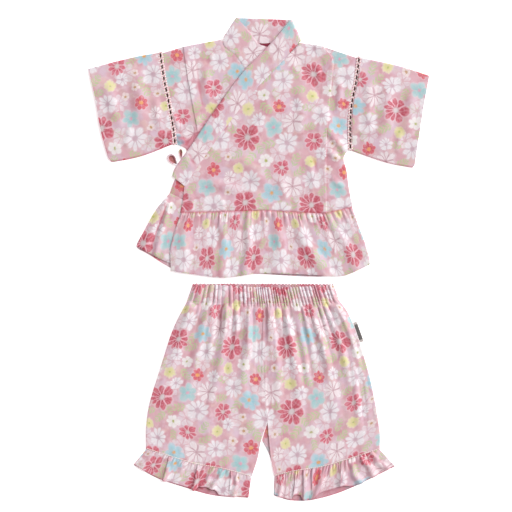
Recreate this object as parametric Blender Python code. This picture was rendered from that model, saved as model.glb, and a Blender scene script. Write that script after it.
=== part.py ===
"""A girl's jinbei set laid flat: a wrap top with a gathered peplum, and shorts with ruffled hems.

Tables are in millimetres, and MM turns them into Blender's metres. X runs across the garment, Y up
towards the neck and Z up from the surface that it lies on. Right and left are the wearer's, so the
right front lies at -X. The origin is under the middle of the set's box.
"""
import math
from collections import namedtuple

import bpy
import bmesh
from mathutils import Vector

MM = 0.001

WALL = 1.2                # cloth as one solid thickness, with its hems and seam allowances
GAP = 0.3                 # clearance between layers and across each seam
LAYER = WALL + GAP
BACK = 0.0                # underside of what rests on the surface
SECOND = LAYER            # underside of what lies on the back
THIRD = 2 * LAYER         # underside of what laps over the right front
LAP_EDGE = 14.0           # how far past the right front's edge the lap keeps its full height
LAP_RAMP = 14.0           # length over which the lap then comes down by one layer

LACE_WIDTH = 6.0
LACE_SLOTS = 16           # openings down the front half of each lace
LACE_SLOT_WIDTH = 2.2
LACE_SLOT_PART = 0.6      # share of one repeat that is open
TUCK_RISE = 1.2           # the pleat folded into each front over the shoulder is thicker by this much
LAP_MARGIN = 7.0          # strip beside the lap's edge where the right front stays flat
LAP_MARGIN_RAMP = 10.0

BAND_ARC_STEPS = 6
SPAN_STEPS = 16           # short chords that stand for the curve between two given points
STEEPEST = 1.6            # most that a slanting wall is thickened so that it keeps its wall square to it
PEPLUM_ROWS = [0, 0.1, 0.26, 0.5, 0.75, 1]
SLEEVE_PUFF = 1.6         # how far the upper side of each sleeve stands off the lower one
WAIST_RIDGES = 38
WAIST_RIDGE_HEIGHT = 1.5
CASING_SWELL = 1.6
RUFFLE_BACK_DROP = 4.5    # most that a ruffle's back edge shows below its front edge
RUFFLE_GAP_WIDTH = 0.14   # fraction of the ruffle over which it shows
CASING_FADE = 0.03

COTTON_PINK = (0.80, 0.50, 0.53, 1.0)
COTTON_INSIDE = (0.72, 0.42, 0.44, 1.0)
LACE_WHITE = (0.86, 0.84, 0.80, 1.0)
LABEL_GREY = (0.42, 0.42, 0.40, 1.0)

Grid = namedtuple("Grid", "points us vs")
Fold = namedtuple("Fold", "at to start reach height width")    # fractions of the piece, heights in mm
Crease = namedtuple("Crease", "x1 y1 x2 y2 height width")      # a ridge along a line on the panel
Gathers = namedtuple("Gathers", "count height reach drift")    # fine gathers under a seam
TieLoop = namedtuple("TieLoop", "name root tip width swell")

# The lace lines, shoulder to underarm, and the neckline
LACE_LINE_RIGHT = [(-143, 299), (-137, 259), (-131, 230), (-125, 196), (-121, 165)]
LACE_LINE_LEFT = [(146, 292), (141, 254), (136, 230), (133, 201), (133, 157)]
NECKLINE = [(-50, 320), (5, 308), (5, 308), (60, 314)]

# The collar's edges on its three runs; inner is the edge by the neck
UNDER_INNER = [(118, 143), (104, 168), (69, 221), (25, 290), (2, 310), (-15, 331), (-31, 349)]
UNDER_OUTER = [(103, 118), (92, 136), (57, 188), (15, 240), (-19, 275), (-36, 298), (-46, 304.5),
               (-51, 312), (-50, 320)]
TOP_INNER = [(46, 346), (20, 314), (-20, 273), (-59, 221), (-96, 166), (-121, 131), (-125, 119)]
TOP_OUTER = [(60, 314), (34, 285), (-5, 244), (-47, 191), (-91, 129), (-107, 105)]

# Rails run down each panel from its top edge. A point given twice is a corner.
BODY_BACK_RAILS = [
    [(-139.5, 298), (-133, 259), (-127, 230), (-121, 196), (-117, 165), (-117, 165), (-104, 157),
     (-112, 128), (-121, 114), (-128, 95)],
    [(-51, 318.5), (-54, 240), (-58, 160), (-70, 74)],
    [(5, 307.2), (5, 240), (5, 160), (5, 70)],
    [(61, 312.5), (70, 240), (75, 160), (80, 67)],
    [(142, 291), (137, 254), (132, 230), (129, 201), (129, 157), (129, 157), (123, 146), (127, 128),
     (131, 99), (136, 75)],
]
FRONT_RIGHT_RAILS = [
    [(-139.5, 298), (-133, 259), (-127, 230), (-121, 196), (-117, 165), (-117, 165), (-104, 157),
     (-112, 128), (-121, 114), (-128, 95)],
    [(-109, 307), (-104, 270), (-96, 225), (-88, 181), (-84, 130), (-88, 76)],
    [(-97, 309.5), (-92, 270), (-84, 225), (-75, 181), (-70, 130), (-70, 74)],
    [(-52.5, 317.6), (-55, 311.5), (-49, 303.4), (-37.6, 296.2), (-20.6, 273.3), (13.6, 238.6),
     (55.6, 186.6), (90.6, 134.6),
     (102, 117.5), (102, 117.5), (110, 100), (116, 71)],
]
FRONT_LEFT_RAILS = [
    [(61, 312.5), (34.6, 284), (-4.4, 243.4), (-46.4, 190.4), (-90.4, 128.4), (-106.4, 104.4),
     (-106.4, 104.4), (-109, 82), (-112, 67)],
    [(75, 311), (40, 230), (10, 150), (5, 70)],
    [(93, 308), (92, 270), (89, 215), (86, 150), (86, 66.3)],
    [(94.5, 307), (108, 288), (105, 252), (101, 208), (98, 157), (98, 66.6)],
    [(142, 291), (137, 254), (132, 230), (129, 201), (129, 157), (129, 157), (123, 146), (127, 128),
     (131, 99), (136, 75)],
]
SLEEVE_RIGHT_RAILS = [          # shoulder fold to underarm seam, cuff first
    [(-247, 274), (-238, 237), (-229, 186), (-216.6, 140)],
    [(-182, 290.6), (-180, 240), (-176, 195), (-170, 149.5)],
    [(-146.5, 297), (-140.4, 259), (-134.4, 230), (-128.4, 196), (-124.4, 167)],
]
SLEEVE_LEFT_RAILS = [
    [(149.4, 290), (144.4, 254), (139.4, 230), (136.4, 201), (136.4, 157)],
    [(205, 277.6), (200, 230), (194, 185), (186, 140)],
    [(247.4, 264), (238.6, 215), (229.6, 157), (226, 132.4)],
]
PEPLUM_BACK_RAILS = [
    [(-129, 93.5), (-150, 69), (-166, 40), (-177, 17), (-165, 9)],
    [(-70, 73), (-85, 30), (-110, -20)],
    [(5, 69), (5, 20), (1, -22.5)],
    [(80, 66), (90, 20), (101, -25.5)],
    [(136, 74), (143, 53), (154, 24), (162, -8)],
]
PEPLUM_RIGHT_RAILS = [
    [(-128.8, 94.8), (-150, 69), (-166, 40), (-177, 18)],
    [(-108, 85.1), (-122, 55), (-134, 26), (-144, 0)],
    [(-88, 75.6), (-98, 45), (-110, 15), (-118, -11)],
    [(-70, 73.6), (-75, 40), (-84, 10), (-90, -15)],
    [(116, 70.6), (119, 40), (122, 15), (124, -12)],
]
PEPLUM_LEFT_RAILS = [
    [(-112, 66.6), (-123, 34), (-128, 12), (-127, -18)],
    [(-85, 67.0), (-90, 20), (-96, -23)],
    [(-41, 68.1), (-46, 20), (-49, -28)],
    [(5, 69.6), (3, 20), (-1, -22)],
    [(46, 67.5), (53, 20), (60, -23)],
    [(86, 65.9), (98, 20), (111, -26)],
    [(98, 66.2), (112, 25), (128, -24)],
    [(136, 74.6), (143, 53), (154, 24), (163, -8)],
]
LEG_RIGHT_RAILS = [             # side seam to centre seam
    [(-104, -62.6), (-123, -100), (-140, -151), (-158, -210), (-163, -244), (-163, -276)],
    [(-72, -64.4), (-95, -150), (-118, -230), (-128, -287)],
    [(-49, -65.7), (-60, -130), (-75, -210), (-92, -298)],
    [(-20, -65.9), (-26, -130), (-38, -210), (-52, -305)],
    [(9.8, -65.9), (9, -150), (9.5, -204), (12.6, -237), (12.6, -237), (3, -266), (-1, -288),
     (-10, -316)],
]
LEG_LEFT_RAILS = [
    [(10.2, -65.9), (9.4, -150), (10.2, -204), (13.2, -237), (13.2, -237), (18, -288), (23, -315)],
    [(38, -65.8), (45, -130), (50, -210), (55, -308)],
    [(66, -64.8), (80, -130), (90, -210), (93, -302)],
    [(90, -63.4), (110, -130), (124, -210), (128, -292)],
    [(117, -60.6), (131, -81), (149, -129), (165, -188), (176, -253), (176, -276)],
]
CROTCH_BACK_LEFT = [(10.2, -65.9), (9.4, -150), (10.2, -204), (13.2, -237), (13.2, -237), (5, -264),
                    (5, -264), (14, -281), (18, -292), (23, -315)]
RUFFLE_RIGHT_RAILS = [          # side end to inner end, seam to free edge
    [(-161.6, -277), (-180, -300)],
    [(-128, -287.4), (-147, -318.5)],
    [(-92, -298.4), (-110, -331)],
    [(-52, -305.4), (-66, -343.5)],
    [(-11.4, -316.5), (-15.5, -347)],
]
RUFFLE_LEFT_RAILS = [
    [(24.4, -315.6), (23.6, -344)],
    [(55, -308.4), (48, -351)],
    [(93, -302.4), (82, -349.5)],
    [(128, -292.4), (128, -335.5)],
    [(174.6, -277), (197, -302)],
]
WAISTBAND_RAILS = [             # side to side, top edge to leg seam
    [(-94, -38), (-102.6, -61.7)],
    [(-49, -39.5), (-49, -64.9)],
    [(5, -41.5), (8, -65)],
    [(60, -41), (66, -64)],
    [(107.6, -38.5), (115.6, -60)],
]
WAISTBAND_BACK_RAILS = [
    [(-94, -36.4), (-102.6, -61.7)],
    [(5, -36.4), (8, -65)],
    [(107.6, -37), (115.6, -60)],
]
TIE_LOOPS = [
    TieLoop("tie_loop_upper", root=(-112.2, 143.5), tip=(-113, 157), width=5.0, swell=1.6),
    TieLoop("tie_loop_lower", root=(-117, 134), tip=(-129, 149), width=9.0, swell=2.4),
]
LOOP_SPREAD = [0.55, 0.8, 1.0, 0.9, 0.6]     # a loop's width from root to tip, as a share of its widest
LOOP_RISE = [0.0, 0.1, 0.7, 1.0, 0.4]        # and how far its upper run stands off, as a share of its swell
LABEL_CORNERS = [(137.4, -93), (142.4, -91.5), (152.6, -120), (147.4, -122)]

FRONT_RIGHT_CREASES = [
    Crease(-70, 285, -72, 215, 1.6, 9),
    Crease(-128, 215, -112, 182, 1.4, 8),
    Crease(-100, 190, -84, 205, 1.2, 9),
]
FRONT_LEFT_CREASES = [
    Crease(101, 184, 128, 158, 2.0, 9),
    Crease(103, 152, 118, 140, 1.6, 8),
    Crease(20, 230, -20, 165, 1.4, 14),
    Crease(60, 260, 62, 160, 1.4, 12),
    Crease(-75, 110, -20, 95, 1.4, 12),
    Crease(30, 120, 40, 80, 1.2, 10),
    Crease(118, 262, 116, 205, 1.4, 8),
]
SLEEVE_RIGHT_CREASES = [
    Crease(-225, 262, -200, 180, 1.6, 14),
    Crease(-178, 280, -168, 180, 1.8, 15),
    Crease(-150, 235, -143, 185, 1.2, 10),
]
SLEEVE_LEFT_CREASES = [
    Crease(160, 262, 158, 180, 1.5, 12),
    Crease(190, 262, 180, 165, 1.8, 15),
    Crease(222, 245, 212, 165, 1.6, 13),
]

PEPLUM_LEFT_GATHERS = Gathers(count=24, height=1.3, reach=0.30, drift=0.40)
PEPLUM_LEFT_FOLDS = [
    Fold(at=0.05, to=0.06, start=0.0, reach=1.0, height=2.2, width=0.050),
    Fold(at=0.14, to=0.17, start=0.0, reach=0.8, height=1.8, width=0.035),
    Fold(at=0.24, to=0.28, start=0.0, reach=1.0, height=2.4, width=0.040),
    Fold(at=0.33, to=0.36, start=0.0, reach=0.6, height=1.6, width=0.030),
    Fold(at=0.39, to=0.395, start=0.0, reach=1.0, height=3.6, width=0.032),
    Fold(at=0.47, to=0.48, start=0.0, reach=0.7, height=2.2, width=0.028),
    Fold(at=0.55, to=0.56, start=0.0, reach=1.0, height=2.4, width=0.035),
    Fold(at=0.64, to=0.76, start=0.0, reach=1.0, height=3.4, width=0.034),
    Fold(at=0.75, to=0.84, start=0.0, reach=0.8, height=2.0, width=0.030),
    Fold(at=0.85, to=0.91, start=0.0, reach=1.0, height=2.6, width=0.034),
    Fold(at=0.94, to=0.97, start=0.0, reach=0.9, height=1.8, width=0.026),
]
PEPLUM_RIGHT_CREASES = [
    Crease(-134, 84, -166, 14, 2.0, 8),
    Crease(-126, 82, -150, 6, 2.4, 7),
]
LEG_RIGHT_GATHERS = Gathers(count=15, height=1.5, reach=0.22, drift=0.30)
LEG_RIGHT_FOLDS = [
    Fold(at=0.10, to=0.08, start=0.0, reach=0.9, height=1.6, width=0.060),
    Fold(at=0.26, to=0.28, start=0.0, reach=1.0, height=2.4, width=0.080),
    Fold(at=0.39, to=0.44, start=0.0, reach=0.7, height=2.6, width=0.045),
    Fold(at=0.56, to=0.55, start=0.0, reach=1.0, height=3.0, width=0.065),
    Fold(at=0.70, to=0.66, start=0.0, reach=0.5, height=2.0, width=0.040),
    Fold(at=0.80, to=0.84, start=0.0, reach=0.9, height=3.0, width=0.055),
]
LEG_LEFT_GATHERS = Gathers(count=15, height=1.6, reach=0.24, drift=0.34)
LEG_LEFT_FOLDS = [
    Fold(at=0.10, to=0.14, start=0.0, reach=1.0, height=2.4, width=0.050),
    Fold(at=0.27, to=0.34, start=0.0, reach=0.6, height=2.6, width=0.040),
    Fold(at=0.42, to=0.46, start=0.0, reach=1.0, height=3.2, width=0.060),
    Fold(at=0.58, to=0.66, start=0.0, reach=0.8, height=2.6, width=0.050),
    Fold(at=0.74, to=0.86, start=0.0, reach=1.0, height=3.0, width=0.055),
    Fold(at=0.90, to=0.95, start=0.1, reach=0.9, height=1.8, width=0.040),
]
RUFFLE_RIGHT_GAP = 0.62         # where along each ruffle its back edge shows most
RUFFLE_LEFT_GAP = 0.50
RUFFLE_RIGHT_GATHERS = Gathers(count=13, height=1.8, reach=1.6, drift=0.45)
RUFFLE_RIGHT_FOLDS = [
    Fold(at=0.10, to=0.12, start=0.0, reach=1.2, height=2.2, width=0.07),
    Fold(at=0.22, to=0.23, start=0.0, reach=1.2, height=3.0, width=0.04),
    Fold(at=0.40, to=0.41, start=0.0, reach=1.2, height=2.6, width=0.06),
    Fold(at=0.52, to=0.51, start=0.0, reach=1.2, height=3.4, width=0.04),
    Fold(at=0.72, to=0.70, start=0.0, reach=1.2, height=2.6, width=0.06),
    Fold(at=0.88, to=0.86, start=0.0, reach=1.2, height=2.8, width=0.05),
]
RUFFLE_LEFT_GATHERS = Gathers(count=14, height=1.8, reach=1.6, drift=0.50)
RUFFLE_LEFT_FOLDS = [
    Fold(at=0.08, to=0.07, start=0.0, reach=1.2, height=2.4, width=0.05),
    Fold(at=0.19, to=0.20, start=0.0, reach=1.2, height=3.0, width=0.05),
    Fold(at=0.34, to=0.36, start=0.0, reach=1.2, height=2.6, width=0.06),
    Fold(at=0.50, to=0.48, start=0.0, reach=1.2, height=2.4, width=0.05),
    Fold(at=0.64, to=0.66, start=0.0, reach=1.2, height=3.4, width=0.04),
    Fold(at=0.76, to=0.77, start=0.0, reach=1.2, height=2.8, width=0.04),
    Fold(at=0.86, to=0.88, start=0.0, reach=1.2, height=3.2, width=0.04),
    Fold(at=0.94, to=0.95, start=0.0, reach=1.2, height=1.8, width=0.03),
]


def clear_scene():
    for thing in list(bpy.data.objects):
        bpy.data.objects.remove(thing, do_unlink=True)


def make_finish(name, colour, roughness):
    finish = bpy.data.materials.new(name)
    finish.use_nodes = True
    shader = finish.node_tree.nodes["Principled BSDF"]
    shader.inputs["Base Color"].default_value = colour
    shader.inputs["Roughness"].default_value = roughness
    shader.inputs["Metallic"].default_value = 0.0
    finish.diffuse_color = colour
    return finish


def even(count):
    return [index / count for index in range(count + 1)]


def crowded(count, power):
    """Fractions from 0 to 1 that lie closer together near 0."""
    return [(index / count) ** power for index in range(count + 1)]


def smooth_run(points):
    """Close points on the smooth curve through a few given ones."""
    if len(points) == 2:
        return [points[0].lerp(points[1], step / SPAN_STEPS) for step in range(SPAN_STEPS + 1)]
    knots = [0.0]
    for a, b in zip(points, points[1:]):
        knots.append(knots[-1] + (b - a).length)
    last = len(points) - 1
    slopes = []
    for index in range(last + 1):
        before, after = max(index - 1, 0), min(index + 1, last)
        slopes.append((points[after] - points[before]) / (knots[after] - knots[before]))
    run = []
    for index in range(last):
        span = knots[index + 1] - knots[index]
        for step in range(SPAN_STEPS):
            t = step / SPAN_STEPS
            run.append(points[index] * (2 * t ** 3 - 3 * t ** 2 + 1)
                       + slopes[index] * span * (t ** 3 - 2 * t ** 2 + t)
                       + points[index + 1] * (3 * t ** 2 - 2 * t ** 3)
                       + slopes[index + 1] * span * (t ** 3 - t ** 2))
    run.append(points[last])
    return run


def smooth_at(run, place):
    """A point of a smooth run, counted in given points: 1.5 is midway from the second to the third."""
    index = min(int(place * SPAN_STEPS), len(run) - 2)
    return run[index].lerp(run[index + 1], place * SPAN_STEPS - index)


def along(points, fractions):
    """Points at given fractions of the length of a smooth line; a point given twice is a corner."""
    knots = [Vector(point) for point in points]
    runs, start = [], 0
    for index in range(1, len(knots)):
        if knots[index] == knots[index - 1]:
            runs.append(knots[start:index])
            start = index
    runs.append(knots[start:])
    line = []
    for run in runs:
        line.extend(smooth_run(run))
    lengths = [0.0]
    for a, b in zip(line, line[1:]):
        lengths.append(lengths[-1] + (b - a).length)
    found, index = [], 0
    for fraction in fractions:
        target = fraction * lengths[-1]
        while index < len(line) - 2 and lengths[index + 1] < target:
            index += 1
        span = lengths[index + 1] - lengths[index]
        share = (target - lengths[index]) / span if span > 0 else 0.0
        found.append(line[index].lerp(line[index + 1], min(share, 1.0)))
    return found


def ruled(rails, columns, fractions, curved=False):
    """A grid between rails: columns[i] cells from rail i to the next, and a row at each fraction.

    Its rows run straight from rail to rail, or on one smooth curve through all of them.
    """
    lines = [along(rail, fractions) for rail in rails]
    points = []
    for row in range(len(fractions)):
        knots = [line[row] for line in lines]
        smooth = smooth_run(knots) if curved and len(knots) > 2 else None
        line = []
        for index, cells in enumerate(columns):
            a, b = knots[index], knots[index + 1]
            for step in range(cells):
                share = step / cells
                line.append(smooth_at(smooth, index + share) if smooth else a.lerp(b, share))
        line.append(knots[-1])
        points.append(line)
    return Grid(points, even(sum(columns)), list(fractions))


def turned(grid):
    """The same grid with its rows and columns exchanged."""
    points = [[row[index] for row in grid.points] for index in range(len(grid.us))]
    return Grid(points, grid.vs, grid.us)


def ease(t):
    t = min(max(t, 0.0), 1.0)
    return t * t * (3 - 2 * t)


def bump(distance, width):
    """A soft ridge: 1 on its line and 0 from its width outwards."""
    return 0.0 if distance >= width else 0.5 + 0.5 * math.cos(math.pi * distance / width)


def crease_lift(creases, x, y):
    lift = 0.0
    for crease in creases:
        start, end = Vector((crease.x1, crease.y1)), Vector((crease.x2, crease.y2))
        run = end - start
        share = min(max((Vector((x, y)) - start).dot(run) / run.length_squared, 0.0), 1.0)
        distance = (Vector((x, y)) - start - run * share).length
        lift += crease.height * bump(distance, crease.width)
    return lift


def drape(gathers, folds, u, v):
    """Height of gathered cloth: fine gathers at the seam, and longer folds that run down from it."""
    lift = 0.0
    if gathers.count and v < gathers.reach:
        phase = gathers.count * u + gathers.drift * math.sin(11.0 * u)
        wave = 0.5 - 0.5 * math.cos(2 * math.pi * phase)
        lift += gathers.height * wave * (1 - ease(v / gathers.reach))
    for fold in folds:
        if fold.start <= v <= fold.reach:
            centre = fold.at + (fold.to - fold.at) * v
            fade = 1.0 if fold.reach >= 1.0 else 1 - ease((v - fold.start) / (fold.reach - fold.start))
            grow = 0.6 + 0.4 * ease(v * 2)
            lift += fold.height * bump(abs(u - centre), fold.width * (0.8 + 0.4 * v)) * fade * grow
    return lift


def edge_fade(u, width):
    """0 at both sides of a piece and 1 from the given fraction inwards."""
    return ease(min(u, 1 - u) / width)


def lap_base(x, y):
    """Underside of the left front: two layers up over the right front, one layer past its edge."""
    edge_start, edge_end = Vector(UNDER_INNER[4]), Vector(UNDER_INNER[0])
    run = (edge_end - edge_start).normalized()
    past = (Vector((x, y)) - edge_start).dot(Vector((-run.y, run.x)))
    return THIRD - (THIRD - SECOND) * ease((past - LAP_EDGE) / LAP_RAMP)


def lap_distance(x, y):
    """How far a point lies outside the lap's edge, where the right front shows; below 0 under it."""
    point, nearest = Vector((x, y)), None
    line = along(TOP_INNER, even(12))
    for a, b in zip(line, line[1:]):
        run = b - a
        share = min(max((point - a).dot(run) / run.length_squared, 0.0), 1.0)
        offset = point - a - run * share
        if nearest is None or offset.length < abs(nearest):
            nearest = math.copysign(offset.length, offset.dot(Vector((run.y, -run.x))))
    return nearest


def steepness(heights, points, row, column):
    """How much thicker than the cloth a slanting wall is when it is measured straight up."""
    def slope(low, high):
        run = (points[high[0]][high[1]] - points[low[0]][low[1]]).length
        return (heights[high[0]][high[1]] - heights[low[0]][low[1]]) / run
    last_row, last_column = len(points) - 1, len(points[0]) - 1
    across = slope((row, max(column - 1, 0)), (row, min(column + 1, last_column)))
    down = slope((max(row - 1, 0), column), (min(row + 1, last_row), column))
    return min(math.sqrt(1 + across ** 2 + down ** 2), STEEPEST)


def finish_object(name, shell, finish):
    bmesh.ops.recalc_face_normals(shell, faces=shell.faces)
    mesh = bpy.data.meshes.new(name)
    shell.to_mesh(mesh)
    shell.free()
    mesh.materials.append(finish)
    mesh.shade_smooth()
    mesh.set_sharp_from_angle(angle=math.radians(40))
    piece = bpy.data.objects.new(name, mesh)
    bpy.context.collection.objects.link(piece)
    return piece


def slab(name, grid, finish, under, extra=None, holes=()):
    """A panel of cloth over a grid, its underside at under(x, y, u, v), thicker by extra(x, y)."""
    low = []
    for row, v in zip(grid.points, grid.vs):
        low.append([under(point.x, point.y, u, v) for point, u in zip(row, grid.us)])
    shell = bmesh.new()
    bottom, top = [], []
    for r, row in enumerate(grid.points):
        bottom.append([])
        top.append([])
        for c, point in enumerate(row):
            thick = WALL * steepness(low, grid.points, r, c)
            if extra:
                thick += extra(point.x, point.y)
            bottom[r].append(shell.verts.new((point.x * MM, point.y * MM, low[r][c] * MM)))
            top[r].append(shell.verts.new((point.x * MM, point.y * MM, (low[r][c] + thick) * MM)))
    cells = [(r, c) for r in range(len(grid.points) - 1) for c in range(len(grid.us) - 1)
             if (r, c) not in holes]
    sides = set()
    for r, c in cells:
        corners = [(r, c), (r, c + 1), (r + 1, c + 1), (r + 1, c)]
        shell.faces.new([top[i][j] for i, j in corners])
        shell.faces.new([bottom[i][j] for i, j in reversed(corners)])
        sides.update(zip(corners, corners[1:] + corners[:1]))
    for a, b in sides:
        if (b, a) not in sides:
            shell.faces.new([top[b[0]][b[1]], top[a[0]][a[1]], bottom[a[0]][a[1]], bottom[b[0]][b[1]]])
    return finish_object(name, shell, finish)


def flat_tube(name, upper, lower, finish, lift):
    """A tube of cloth lying flat: a lower run on the surface, an upper run over it, and round sides."""
    middle = WALL + GAP / 2
    heights = []
    for row, v in zip(upper.points, upper.vs):
        heights.append([LAYER + lift(point.x, point.y, u, v) for point, u in zip(row, upper.us)])
    shell = bmesh.new()
    rings = []
    for r, (over, below) in enumerate(zip(upper.points, lower.points)):
        ring = []

        def add(point, outer_z, inner_z, outer_push=0.0, inner_push=0.0, way=None):
            push = way if way is not None else Vector((0.0, 0.0))
            outer, inner = point + push * outer_push, point + push * inner_push
            ring.append((shell.verts.new((outer.x * MM, outer.y * MM, outer_z * MM)),
                         shell.verts.new((inner.x * MM, inner.y * MM, inner_z * MM))))

        def add_turn(near, inside, angles):
            way = (near[0] - inside).normalized()
            for angle in angles:
                share = 0.5 + 0.5 * math.sin(angle)
                point = near[1].lerp(near[0], share)
                add(point, middle + middle * math.sin(angle), middle + GAP / 2 * math.sin(angle),
                    middle * math.cos(angle), GAP / 2 * math.cos(angle), way)

        quarter = math.pi / 4
        for point in reversed(below):
            add(point, 0.0, WALL)
        add_turn((over[0], below[0]), over[1], (-quarter, 0.0, quarter))
        for c, point in enumerate(over):
            thick = WALL * steepness(heights, upper.points, r, c)
            add(point, heights[r][c] + thick, heights[r][c])
        add_turn((over[-1], below[-1]), over[-2], (quarter, 0.0, -quarter))
        rings.append(ring)
    for side in (0, 1):
        for near, far in zip(rings, rings[1:]):
            for k in range(len(near)):
                n = (k + 1) % len(near)
                shell.faces.new([near[k][side], near[n][side], far[n][side], far[k][side]])
    for ring in (rings[0], rings[-1]):
        for k in range(len(ring)):
            n = (k + 1) % len(ring)
            shell.faces.new([ring[k][0], ring[n][0], ring[n][1], ring[k][1]])
    return finish_object(name, shell, finish)


def band_run(first_edge, second_edge, count, height, facing):
    """Stations along a band that lies flat: both edges' points on its middle surface, and its normal."""
    stations = []
    for p, q in zip(along(first_edge, even(count)), along(second_edge, even(count))):
        stations.append((Vector((p.x, p.y, height)), Vector((q.x, q.y, height)), Vector((0, 0, facing))))
    return stations


def band_fold(p, q, outward, from_height, to_height):
    """Stations round a fold, where the band turns over on the line from p to q."""
    radius, middle = abs(to_height - from_height) / 2, (to_height + from_height) / 2
    turn = math.copysign(1, to_height - from_height)
    stations = []
    for step in range(1, BAND_ARC_STEPS):
        angle = turn * (-math.pi / 2 + math.pi * step / BAND_ARC_STEPS)
        normal = Vector((outward.x * math.cos(angle), outward.y * math.cos(angle), math.sin(angle)))
        centre_p, centre_q = Vector((p[0], p[1], middle)), Vector((q[0], q[1], middle))
        stations.append((centre_p + normal * radius, centre_q + normal * radius, normal))
    return stations


def band(name, stations, finish):
    """A closed strip of cloth through its stations."""
    shell = bmesh.new()
    loops = []
    for p, q, normal in stations:
        half = normal * (WALL / 2)
        loops.append([shell.verts.new(corner * MM) for corner in (p + half, q + half, q - half, p - half)])
    for near, far in zip(loops, loops[1:]):
        for k in range(4):
            n = (k + 1) % 4
            shell.faces.new([near[k], near[n], far[n], far[k]])
    shell.faces.new(loops[0])
    shell.faces.new(loops[-1])
    return finish_object(name, shell, finish)


def across_line(p, q, away_from):
    """Unit direction square to the line from p to q, on the side away from a point."""
    run = (Vector(q) - Vector(p)).normalized()
    square = Vector((-run.y, run.x))
    return -square if square.dot(Vector(away_from) - Vector(p)) > 0 else square


def build_collar(cotton):
    back_mid, under_mid, top_mid = BACK + WALL / 2, SECOND + WALL / 2, THIRD + WALL / 2
    neck_centre = (5, 330)
    left_end, right_end = (UNDER_INNER[-1], UNDER_OUTER[-1]), (TOP_INNER[0], TOP_OUTER[0])
    stations = band_run(UNDER_INNER, UNDER_OUTER, 26, under_mid, 1)
    stations += band_fold(*left_end, across_line(*left_end, neck_centre), under_mid, back_mid)
    stations += band_run([left_end[0], right_end[0]], NECKLINE, 6, back_mid, -1)
    stations += band_fold(*right_end, across_line(*right_end, neck_centre), back_mid, top_mid)
    stations += band_run(TOP_INNER, TOP_OUTER, 18, top_mid, 1)
    band("collar", stations, cotton)


def build_tie_loop(loop, cotton):
    """One bow loop: a narrow tie that runs out from under the collar's end, turns over and runs back."""
    root, tip = Vector(loop.root), Vector(loop.tip)
    way = (tip - root).normalized()
    half = Vector((-way.y, way.x)) * (loop.width / 2)
    low, high = BACK + WALL / 2, SECOND + WALL / 2
    shares = even(len(LOOP_SPREAD) - 1)

    def station(share, spread_at, height, normal):
        centre = root.lerp(tip, share)
        p, q = centre + half * spread_at, centre - half * spread_at
        return Vector((p.x, p.y, height)), Vector((q.x, q.y, height)), normal

    stations = [station(s, w, low, Vector((0, 0, -1))) for s, w in zip(shares, LOOP_SPREAD)]
    p, q = tip + half * LOOP_SPREAD[-1], tip - half * LOOP_SPREAD[-1]
    stations += band_fold(p, q, way, low, high + loop.swell * LOOP_RISE[-1])
    for share, spread_at, rise in reversed(list(zip(shares, LOOP_SPREAD, LOOP_RISE))):
        stations.append(station(share, spread_at, high + rise * loop.swell, Vector((0, 0, 1))))
    band(loop.name, stations, cotton)


def build_lace(side, line, base, white, plain):
    """Half of one side's lace: the front is a ladder of rungs between two rails, the back is plain."""
    half_slot, half_width = LACE_SLOT_WIDTH / 2, LACE_WIDTH / 2
    fractions = [0.0]
    for slot in range(LACE_SLOTS):
        start = (slot + (1 - LACE_SLOT_PART) / 2) / LACE_SLOTS
        fractions += [start, start + LACE_SLOT_PART / LACE_SLOTS]
    fractions.append(1.0)
    centre = along(line, fractions)
    points = []
    for index, point in enumerate(centre):
        run = centre[min(index + 1, len(centre) - 1)] - centre[max(index - 1, 0)]
        out = Vector((-run.y, run.x)).normalized()
        offsets = (-half_width, -half_slot, half_slot, half_width)
        points.append([point + out * offset for offset in offsets])
    grid = Grid(points, even(3), fractions)
    holes = () if plain else {(row, 1) for row in range(1, len(fractions) - 1, 2)}
    half_name = "back" if plain else "front"
    slab(f"lace_{side}_{half_name}", grid, white, lambda x, y, u, v: base(x, y), holes=holes)


def flat(height):
    return lambda x, y, u, v: height


def build_backs(cotton, inside):
    slab("body_back", ruled(BODY_BACK_RAILS, [3, 3, 3, 3], even(14)), inside, flat(BACK))
    slab("peplum_back", ruled(PEPLUM_BACK_RAILS, [3, 3, 3, 3], even(5), curved=True), inside, flat(BACK))
    slab("leg_back_right", ruled(LEG_RIGHT_RAILS, [4, 4, 4, 4], even(14), curved=True), cotton, flat(BACK))
    left_back_rails = [CROTCH_BACK_LEFT] + LEG_LEFT_RAILS[1:]
    slab("leg_back_left", ruled(left_back_rails, [4, 4, 4, 4], even(24), curved=True), cotton, flat(BACK))


def build_fronts(cotton):
    """Both fronts, with the folded tuck as a thicker strip between two columns of the grid."""
    right = ruled(FRONT_RIGHT_RAILS, [4, 2, 10], even(26))
    left = ruled(FRONT_LEFT_RAILS, [9, 5, 2, 3], even(16))
    right_tuck = {row[column].x for row in right.points for column in (5, 6)}
    left_tuck = {row[column].x for row in left.points for column in (15, 16)}

    def showing(x, y):
        return ease((lap_distance(x, y) - LAP_MARGIN) / LAP_MARGIN_RAMP)

    slab("front_right", right, cotton,
         lambda x, y, u, v: SECOND + crease_lift(FRONT_RIGHT_CREASES, x, y) * showing(x, y),
         lambda x, y: TUCK_RISE * showing(x, y) if x in right_tuck else 0.0)
    slab("front_left", left, cotton,
         lambda x, y, u, v: lap_base(x, y) + crease_lift(FRONT_LEFT_CREASES, x, y),
         lambda x, y: TUCK_RISE if x in left_tuck else 0.0)


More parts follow.
